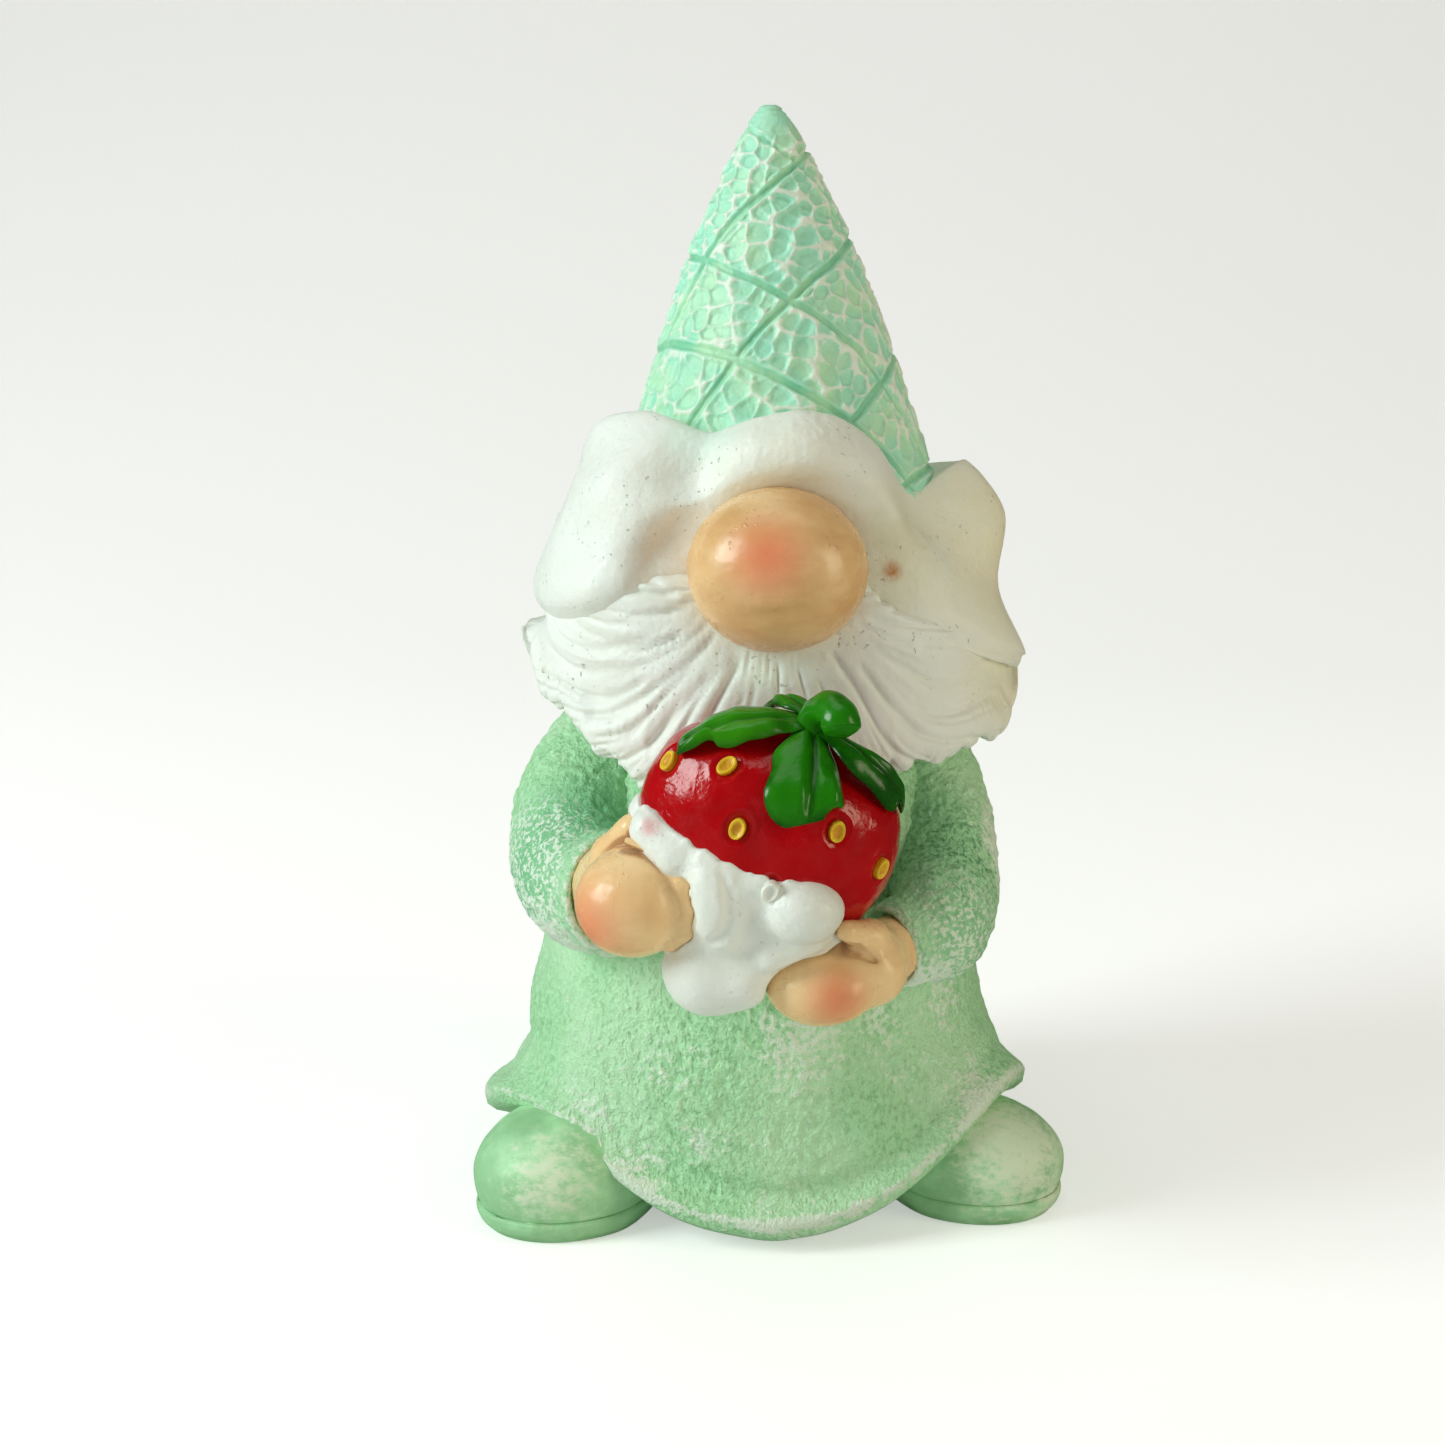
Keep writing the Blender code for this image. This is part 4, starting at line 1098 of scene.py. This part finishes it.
BERRY_LENGTH = 31.0
BERRY_RADIUS = 14.3
BERRY_DEPTH_SHARE = 0.68
BERRY_TOP = Vector((4.0, -33.5, 64.5))
BERRY_PLACE = Matrix.Translation(BERRY_TOP) @ Matrix.Rotation(math.radians(21.0), 4, "Y")
BERRY_TURN, BERRY_SHIFT = np.array(BERRY_PLACE.to_3x3()), np.array(BERRY_PLACE.translation)
BERRY_OUTLINE = (0.30, 0.84, 0.99, 1.0, 0.93, 0.82, 0.62, 0.0)
SEEDS = ((-68, 7.7), (-35, 5.0), (-16, 10.4), (26, 7.2), (60, 10.4), (6, 15.4))  # angle, depth down the fruit
SEED_SIZE = (0.84, 1.16)  # half-width and half-height
SEED_PROFILE = (  # size and height of the cup's rings
    (0.02, -1.0), (0.92, -0.8), (1.04, -0.1), (1.00, 0.22), (0.88, 0.34), (0.72, 0.20), (0.45, 0.06),
    (0.02, 0.02),
)
DIP_LINE = (  # depth of the dip's upper edge round the fruit
    (-180, 15), (-110, 14), (-72, 13.4), (-36, 13.7), (-15, 14.9), (-1, 14.3), (16, 13.6), (38, 15.2),
    (52, 17.4), (71, 20.0), (100, 20.0), (140, 16),
)


def to_world(points):
    """From the fruit's own frame, hanging down -Z from its calyx, to the figure's frame."""
    return points @ BERRY_TURN.T + BERRY_SHIFT


def to_berry(points):
    return (points - BERRY_SHIFT) @ BERRY_TURN


def berry_radius(depth):
    """Half-width of the fruit at depths below its top."""
    return BERRY_RADIUS * curve(BERRY_OUTLINE, depth / BERRY_LENGTH)


def off_axis(own):
    """Distance from the fruit's axis, as if the fruit were round."""
    return np.hypot(own[..., 0], own[..., 1] / BERRY_DEPTH_SHARE)


def berry_surface(angle, depth, proud=0.0):
    """Points on the fruit; angle 0 faces the front."""
    return polar(angle, berry_radius(depth) + proud, -depth) * np.array([1, BERRY_DEPTH_SHARE, 1])


def build_strawberry(paint):
    """The fruit, with two soft lobes, a dimple round each seed and a waist where the dip covers it."""
    rows, cols = 200, 300
    angle = compass(cols)[None, :] + np.zeros((rows, 1))
    depth = BERRY_LENGTH * (0.5 - 0.5 * np.cos(np.linspace(0.03, 0.985, rows) * math.pi))[:, None] + 0 * angle
    own = berry_surface(angle, depth)
    height = -0.9 * bump(angle, 4, 9) * (1 - ramp(depth, 4, 13)) + 0.25 * fractal(own, 6.0, 181)
    height -= 3.2 * ramp(depth - round_table(DIP_LINE, angle, 4.0), 0.6, 3.6)
    hollow = np.zeros(height.shape)
    for seat in (berry_surface(*seed) for seed in SEEDS):
        away = np.linalg.norm((own - seat) / np.array([1.0, 1.0, 1.25]), axis=-1)
        height -= 0.35 * np.exp(-((away / 1.25) ** 4)) - 0.10 * hill(away, 1.7, 0.4)
        hollow = np.maximum(hollow, np.exp(-((away / 1.2) ** 6)))
    fruit = to_world(raised(own, height))
    # Low relief in the seed hollows becomes painted shade in the lacquer.
    add_grid("strawberry_fruit", fruit, 0.6 - 0.5 * hollow, paint, "strawberry")


def build_seed(number, paint):
    """A small oval cup: a raised rim round a shallow hollow, standing square to the fruit."""
    angle, depth = SEEDS[number - 1]
    proud = 1.4 if number == len(SEEDS) else 0.1
    seat = berry_surface(angle, depth, proud)
    across = unit(berry_surface(angle + 1.0, depth, proud) - seat)
    down = unit(berry_surface(angle, depth + 0.3, proud) - seat)
    out = np.cross(across, down)
    out = out if out @ (berry_surface(angle, depth, proud + 1.0) - seat) > 0 else -out
    profile = curve(SEED_PROFILE, np.linspace(0, 1, 30))
    turn = circle(48)[None, :]
    wide, rise = profile[:, :1], profile[:, 1:]
    grid = (wide * np.cos(turn))[..., None] * across * SEED_SIZE[0]
    grid = grid + (wide * np.sin(turn))[..., None] * down * SEED_SIZE[1] + rise[..., None] * out + seat
    grid = grid + 0.06 * noise(grid, 0.7, 190 + number)[..., None] * out
    relief = ramp(rise, -0.05, 0.3) * ramp(wide, 0.3, 0.8)
    add_grid(f"seed_{number}_cup", to_world(grid), relief, paint, f"seed_{number}")


def dip(points):
    """The cream coat: a thick skin over the fruit's lower half, with rolls, a swirl and a heavy foot."""
    own = to_berry(points)
    depth = -own[..., 2]
    turn = np.degrees(np.arctan2(own[..., 0], -own[..., 1] / BERRY_DEPTH_SHARE))
    brushed = points_from(np.radians(turn), 0.0)
    line = round_table(DIP_LINE, turn, 4.0) + 0.45 * noise(brushed, 0.11, 201)
    line += 0.22 * noise(brushed, 0.035, 203)
    thick = 0.45 + 0.6 * ramp(depth - line, 0.0, 2.0)
    coat = (off_axis(own) - berry_radius(depth) - thick) * 0.8
    coat = np.maximum(coat, depth - BERRY_LENGTH + 1.0)
    coat = np.maximum(coat, (line - depth) * 0.8)
    knob = rod(points, (-12.7, -37.8, 54.4, 2.4), (-10.0, -39.6, 52.2, 2.6))
    roll = blob(points, (-5.6, -41.4, 47.6), (3.4, 3.2, 5.6), -12)
    lobe = melt([blob(points, (3.4, -41.6, 46.8), (4.3, 3.6, 3.7), 14),
                 blob(points, (5.2, -40.0, 46.4), (2.6, 2.8, 2.6))], 1.0)
    ledge = rod(points, (4.6, -40.6, 43.0, 1.3), (0.0, -41.2, 41.4, 1.6))
    foot = melt([blob(points, (-6.3, -37.0, 38.4), (5.5, 5.6, 5.2)),
                 blob(points, (-3.0, -38.0, 38.4), (3.6, 4.8, 3.9))], 1.2)
    body = melt([coat, ledge, foot], 1.4)
    body = melt([body, roll], 1.2)
    body = melt([body, lobe], 0.7)
    creases = (
        (-5.4, -43.8, 52.6, 0.5), (-4.1, -44.6, 49.4, 0.8), (-4.0, -44.9, 47.0, 1.0),
        (-4.9, -44.5, 44.6, 1.0), (-7.0, -43.2, 43.0, 0.6),
    )
    for start, end in zip(creases, creases[1:]):
        body = carve(body, rod(points, start, end), 0.35)
    hollow = ((-1.4, -45.4, 49.6, 0.9), (-1.7, -45.5, 46.2, 1.3), (-0.8, -44.6, 43.4, 0.9))
    body = carve(body, chain(points, hollow, 0.4), 0.7)
    for hand in (right_hand, left_hand):
        body = carve(body, cleared(hand, points), 0.3)
    return melt([body, knob], 0.5)


def build_dip(paint):
    points, quads = moulded(dip, "strawberry_cream", 4.0, 0.3, (0.12, 3.0, 211), (0.03, 0.8, 215))
    relief = np.full(len(points), 0.6)
    add_mesh("strawberry_dip", points, quads.tolist(), relief, paint, "strawberry_cream")


# ---- leaves and stalk ----

LEAVES = {  # stations of (x, y, z, half-width) down the midrib, and how far the edges curl
    "front": ([
        (4.4, -36.5, 65.8, 1.4), (4.2, -39.8, 65.0, 2.4), (3.9, -42.6, 63.0, 3.7), (3.6, -44.0, 60.8, 4.3),
        (3.5, -44.6, 58.9, 4.1), (3.8, -44.4, 57.2, 2.0),
    ], 0.9),
    "right": ([
        (3.4, -36.4, 66.2, 1.5), (0.6, -38.6, 66.9, 2.5), (-3.2, -39.8, 66.9, 3.2), (-6.4, -39.8, 66.0, 2.8),
        (-8.6, -39.0, 64.8, 1.7), (-9.8, -38.2, 63.0, 0.3),
    ], 0.8),
    "left": ([
        (5.4, -36.6, 65.6, 1.3), (7.4, -39.4, 64.6, 1.9), (9.8, -40.4, 62.8, 2.3), (12.0, -39.8, 60.4, 2.4),
        (13.6, -38.4, 58.0, 2.1), (14.2, -37.6, 56.6, 0.8),
    ], 0.9),
    "back": ([
        (4.2, -34.8, 66.4, 1.1), (2.8, -33.4, 67.2, 1.7), (1.2, -32.6, 67.3, 1.7), (-0.6, -32.0, 66.6, 0.6),
    ], 0.4),
}
CALYX_HEART = np.array([1.1, -33.5, 57.0])  # the leaves face away from this point inside the fruit
STALK = [(4.0, -35.4, 63.4, 1.6, 1.6), (4.4, -36.0, 65.6, 1.6, 1.6), (5.2, -36.6, 67.2, 1.8, 1.8),
         (6.5, -37.8, 67.7, 2.1, 2.1), (7.3, -39.2, 66.8, 2.2, 2.2), (7.5, -39.8, 66.0, 1.9, 1.9),
         (7.6, -40.1, 65.5, 0.9, 0.9)]


def settled(points, proud, furthest=2.6):
    """Points moved back from the front until they stand proud of the fruit by no more than a given height."""
    back = np.array([0.0, 1.0, -0.28])
    moved = np.zeros(len(points))
    for _ in range(12):
        own = to_berry(points + moved[:, None] * back)
        clear = (off_axis(own) - berry_radius(-own[:, 2])) * BERRY_DEPTH_SHARE
        clear = np.hypot(np.maximum(clear, 0), np.maximum(own[:, 2], 0)) + np.minimum(clear, 0)
        moved = np.clip(moved + 0.6 * (clear - proud), 0.0, furthest)
    return points + moved[:, None] * back


def build_leaf(name, paint):
    """A fleshy sepal: a sunken midrib, swollen halves and edges that curl."""
    path, curl = LEAVES[name]
    rows, cols = 100, 90
    path = np.array(path)
    path[:, :3] = settled(path[:, :3], 1.15)
    t = np.linspace(0, 1, rows)
    line = curve(path, t)
    along = unit(np.gradient(line[:, :3], axis=0))
    out = line[:, :3] - CALYX_HEART
    out = unit(out - np.einsum("ij,ij->i", out, along)[:, None] * along)
    across = np.cross(along, out)
    t = t[:, None]
    turn = circle(cols)[None, :]
    sideways, lift = np.cos(turn), np.sin(turn)
    width = line[:, 3:4] * (1 + 0.10 * noise(points_from(6 * t, np.sign(sideways)), 1.0, 219))
    swollen = 0.95 * np.sqrt(np.clip(np.sin(np.clip(t * 1.02, 0, 1) * math.pi), 0.05, 1))
    crease = hill(sideways, -0.12, 0.16) * ramp(t, 0.0, 0.2) * (1 - ramp(t, 0.8, 1.0))
    thickness = swollen * np.where(lift > 0, 1.15 - 0.75 * crease, 0.7) * lift * np.sqrt(width / 3.4 + 0.1)
    droop = -curl * 0.36 * sideways**2 * width / 3.0
    curled = 0.9 * curl * hill(sideways, -0.72, 0.2) * hill(t, 0.62, 0.22) * np.maximum(lift, 0)
    grid = line[:, None, :3] + (sideways * width)[..., None] * across[:, None]
    grid = grid + (thickness + droop + curled)[..., None] * out[:, None]
    grid = grid + (0.22 * noise(grid, 2.0, 221 + len(name)))[..., None] * out[:, None]
    # Low relief at thin edges and in the midrib's crease becomes painted shade in the lacquer.
    relief = 0.25 + 0.5 * np.clip((thickness + curled) / 0.9, 0, 1) + 0.2 * noise(grid, 3.0, 225)
    node = f"calyx_leaf_{name}"
    add_grid(f"{node}_sepal", grid, relief, paint, node)


def build_stem(paint):
    """A thick stalk that bends over to the gnome's left and ends in a rounded knob."""
    tube, line, t = swept(STALK, 100, 90)
    outward = unit(tube - line)
    under = 1 - ramp(outward[..., 2], -0.4, 0.4)
    dent = 0.14 * noise(tube, 1.5, 231) - 0.3 * hill(t[:, None], 0.62, 0.03) * under
    add_grid("stem_stalk", tube + outward * dent[..., None], 0.6 + dent, paint, "stem")


# ---- stage ----


def backdrop_paint():
    """Pale to the camera, and dark to reflections, so that the glossy paints keep their depth."""
    p = Paint("pale_backdrop")
    p.shader.inputs["Emission Color"].default_value = (1.0, 1.0, 1.0, 1.0)
    p.join(p.ray("Is Camera Ray") * 0.42, p.shader.inputs["Emission Strength"])
    return p.finish(p.mix(p.ray("Is Glossy Ray"), (0.85, 0.85, 0.84), (0.07, 0.075, 0.065)), 0.9)


def build_stage():
    """A pale floor that curves up into a backdrop."""
    arc = np.radians(np.linspace(0, 90, 48))
    sweep = [(-1.2, 0.0), *zip(0.25 + 0.9 * np.sin(arc), 0.9 - 0.9 * np.cos(arc)), (1.15, 1.8)]
    points = [(x, y, z) for y, z in sweep for x in (-1.6, 1.6)]
    faces = [(2 * k, 2 * k + 1, 2 * k + 3, 2 * k + 2) for k in range(len(sweep) - 1)]
    mesh = bpy.data.meshes.new("backdrop")
    mesh.from_pydata(points, [], faces)
    mesh.shade_smooth()
    mesh.materials.append(backdrop_paint())
    floor = bpy.data.objects.new("backdrop", mesh)
    bpy.context.scene.collection.objects.link(floor)


def area_light(name, place, target, size, watts, colour):
    data = bpy.data.lights.new(name, "AREA")
    data.shape = "RECTANGLE"
    data.size, data.size_y = size
    data.energy = watts
    data.color = colour
    lamp = bpy.data.objects.new(name, data)
    lamp.location = place
    lamp.rotation_euler = (Vector(target) - Vector(place)).to_track_quat("-Z", "Y").to_euler()
    bpy.context.scene.collection.objects.link(lamp)
    return lamp


def build_lights():
    """A large cool window at the upper left, a weaker warm one at the right, and a soft room all round."""
    middle = (0, 0, 0.065)
    area_light("window_left", (-0.64, -0.22, 0.40), middle, (0.30, 0.42), 4.1, (0.90, 1.0, 0.98))
    area_light("window_right", (0.60, -0.26, 0.22), middle, (0.22, 0.40), 1.2, (1.0, 0.89, 0.64))
    area_light("window_top", (-0.05, 0.05, 0.80), middle, (0.5, 0.5), 0.9, (0.97, 1.0, 0.95))
    front = area_light("room_front", (-0.12, -0.75, 0.03), middle, (0.5, 0.3), 0.95, (0.93, 1.0, 0.93))
    front.visible_glossy = False
    room = Tree(bpy.data.worlds.new("soft_room"))
    background = room.nodes["Background"]
    dimmed = room.spread(room.ray("Is Glossy Ray"), 0.0, 1.0, 0.19, 0.04)
    strength = room.math("MAXIMUM", dimmed, room.ray("Is Camera Ray"))
    room.fill(background, {"Color": (1.0, 0.97, 0.85, 1.0), "Strength": strength})
    bpy.context.scene.world = room.owner
    bpy.context.scene.view_settings.view_transform = "Standard"


def build_camera():
    """Close in front and a little above, shifted so that the object stands right of the picture's middle."""
    elevation, distance, width = math.radians(14.0), 0.280, 0.1769
    target = Vector((0, 0, 0.062))
    away = Vector((0, -math.cos(elevation), math.sin(elevation)))
    data = bpy.data.cameras.new("camera")
    data.sensor_width = 36.0
    data.lens = 36.0 * distance / width
    data.shift_x = -0.033
    data.shift_y = -0.032
    data.clip_start = 0.01
    camera = bpy.data.objects.new("camera", data)
    camera.location = target + away * distance
    camera.rotation_euler = (-away).to_track_quat("-Z", "Y").to_euler()
    bpy.context.scene.collection.objects.link(camera)
    bpy.context.scene.camera = camera


# ---- where the paint changes, as (centre, radius, ...) places in millimetres ----

# Warm yellow painted shade for the right side of the drape and beard, turned away from the main lamp.
WARM_SHADE_TINT = (0.92, 0.82, 0.50)
DRAPE_TINTS = (
    # Painted shade, warm yellow, on the drape's right; painted reflection and shadow, peach, left of the
    # nose.
    ((28, -6, 80), 24, WARM_SHADE_TINT, 0.6), ((-10, -23, 80), 9, (0.86, 0.58, 0.38), 0.5),
    # A mint tint by the hat; painted shade, warm grey, over the middle above the nose.
    ((-8, -20, 96), 7, HAT_MINT, 0.5), ((2, -24, 90), 13, (0.84, 0.80, 0.64), 0.6),
    # Painted shadow, olive grey, in the hollow right of the nose; then a real brown speck.
    ((15, -21, 82), 12, (0.70, 0.66, 0.46), 0.85), ((13.7, -20.1, 79.2), 1.7, (0.52, 0.20, 0.04), 1.0),
)
# Painted shade, warm yellow, on the beard's right; painted light, pale green, under the nose against its
# shadow.
BEARD_TINTS = (((30, -8, 66), 18, WARM_SHADE_TINT, 0.5), ((0, -26, 65), 13, (0.84, 1.0, 0.89), 1.0))
DIP_TINTS = (
    # A red tint by the knob; painted shade, warm grey, at the lower right of the second lobe.
    ((-12.8, -40.2, 55.6), 1.9, (0.78, 0.10, 0.14), 0.55), ((7, -42, 44), 6, (0.62, 0.60, 0.44), 0.6),
)
NOSE_BLUSH = (((NOSE[0] - 1.3, NOSE[1] - 8.6, NOSE[2] + 3.2), 6.8),)
HAND_BLUSHES = (((-18.6, -41.5, 45.6), 6.5), ((7.2, -41.4, 36.6), 5.2))
ROBE_PATCHES = (
    ((-22, -22, 13), 9, 0.34), ((-12, -27, 22), 8, 0.28), ((4, -28, 26), 12, 0.36),
    ((14, -26, 27), 9, 0.42), ((-16, -26, 8), 9, 0.40), ((22, -17, 28), 10, 0.36),
    ((24, -18, 15), 8, 0.38), ((4, -30, 4), 8, 0.22), ((-8, -28, 13), 6, 0.30),
)
SLEEVE_PATCHES = (
    ((-31, -10, 40), 13, 0.52), ((-24, -22, 37), 9, 0.55), ((29, -12, 44), 11, 0.5),
    ((18, -27, 32), 8, 0.5),
)
SLEEVE_PITS = ((21, -18, 43), 13)
SLEEVE_DEEPER = (
    ((-27, -19, 42), 16, 0.9, 1.0), ((-21, -19, 50), 11, 0.85, 0.0), ((20, -23, 38), 11, 0.8, 0.9),
    ((17, -18, 50), 10, 0.5, 0.0),
)
SHOE_PATCHES = (
    ((-25.5, -27, 8.5), 9.5, 0.62), ((-31, -20, 6), 6, 0.4), ((29, -20, 9), 13, 0.85),
    ((32, -18, 3), 8, 0.8),
)

# ---- the whole scene ----


def paint_nodes(names, material):
    """New finish for CAD nodes that stay as they are."""
    for name in names:
        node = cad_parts[name]
        node.data.materials.clear()
        node.data.materials.append(material)

def main():
    build_hat(hat_paint())
    build_brim(ivory_paint("ivory_drape", tints=DRAPE_TINTS))
    build_nose(skin_paint("nose_peach", NOSE_DARK, NOSE_LIGHT, NOSE_BLUSH))
    build_beard(ivory_paint("ivory_beard", shade=0.3, tints=BEARD_TINTS))
    build_robe(felt_paint("felted_green", 0.45, ROBE_PATCHES))
    skin = skin_paint("hand_peach", HAND_DARK, HAND_LIGHT, HAND_BLUSHES)
    sleeve = felt_paint("felted_sleeve", 0.3, SLEEVE_PATCHES, SLEEVE_PITS, SLEEVE_DEEPER)
    shoe = shoe_paint(SHOE_PATCHES)
    for side, shape in (("right", right_hand), ("left", left_hand)):
        build_sleeve(side, sleeve)
        build_hand(side, shape, skin)
        build_shoe(side, shoe)
        build_sole(side, shoe)
    build_strawberry(berry_paint())
    dip_white = ivory_paint("dip_white", gloss=0.4, pitting=0.35, tints=DIP_TINTS)
    build_dip(dip_white)
    enamel = seed_paint()
    for number in range(1, len(SEEDS) + 1):
        covered = number == len(SEEDS)
        build_seed(number, dip_white if covered else enamel)
    leaf = leaf_paint()
    for name in LEAVES:
        build_leaf(name, leaf)
    build_stem(leaf)
    paint_nodes(("head_core", "base_plate"), bare_resin())
    build_stage()
    build_lights()
    build_camera()


main()
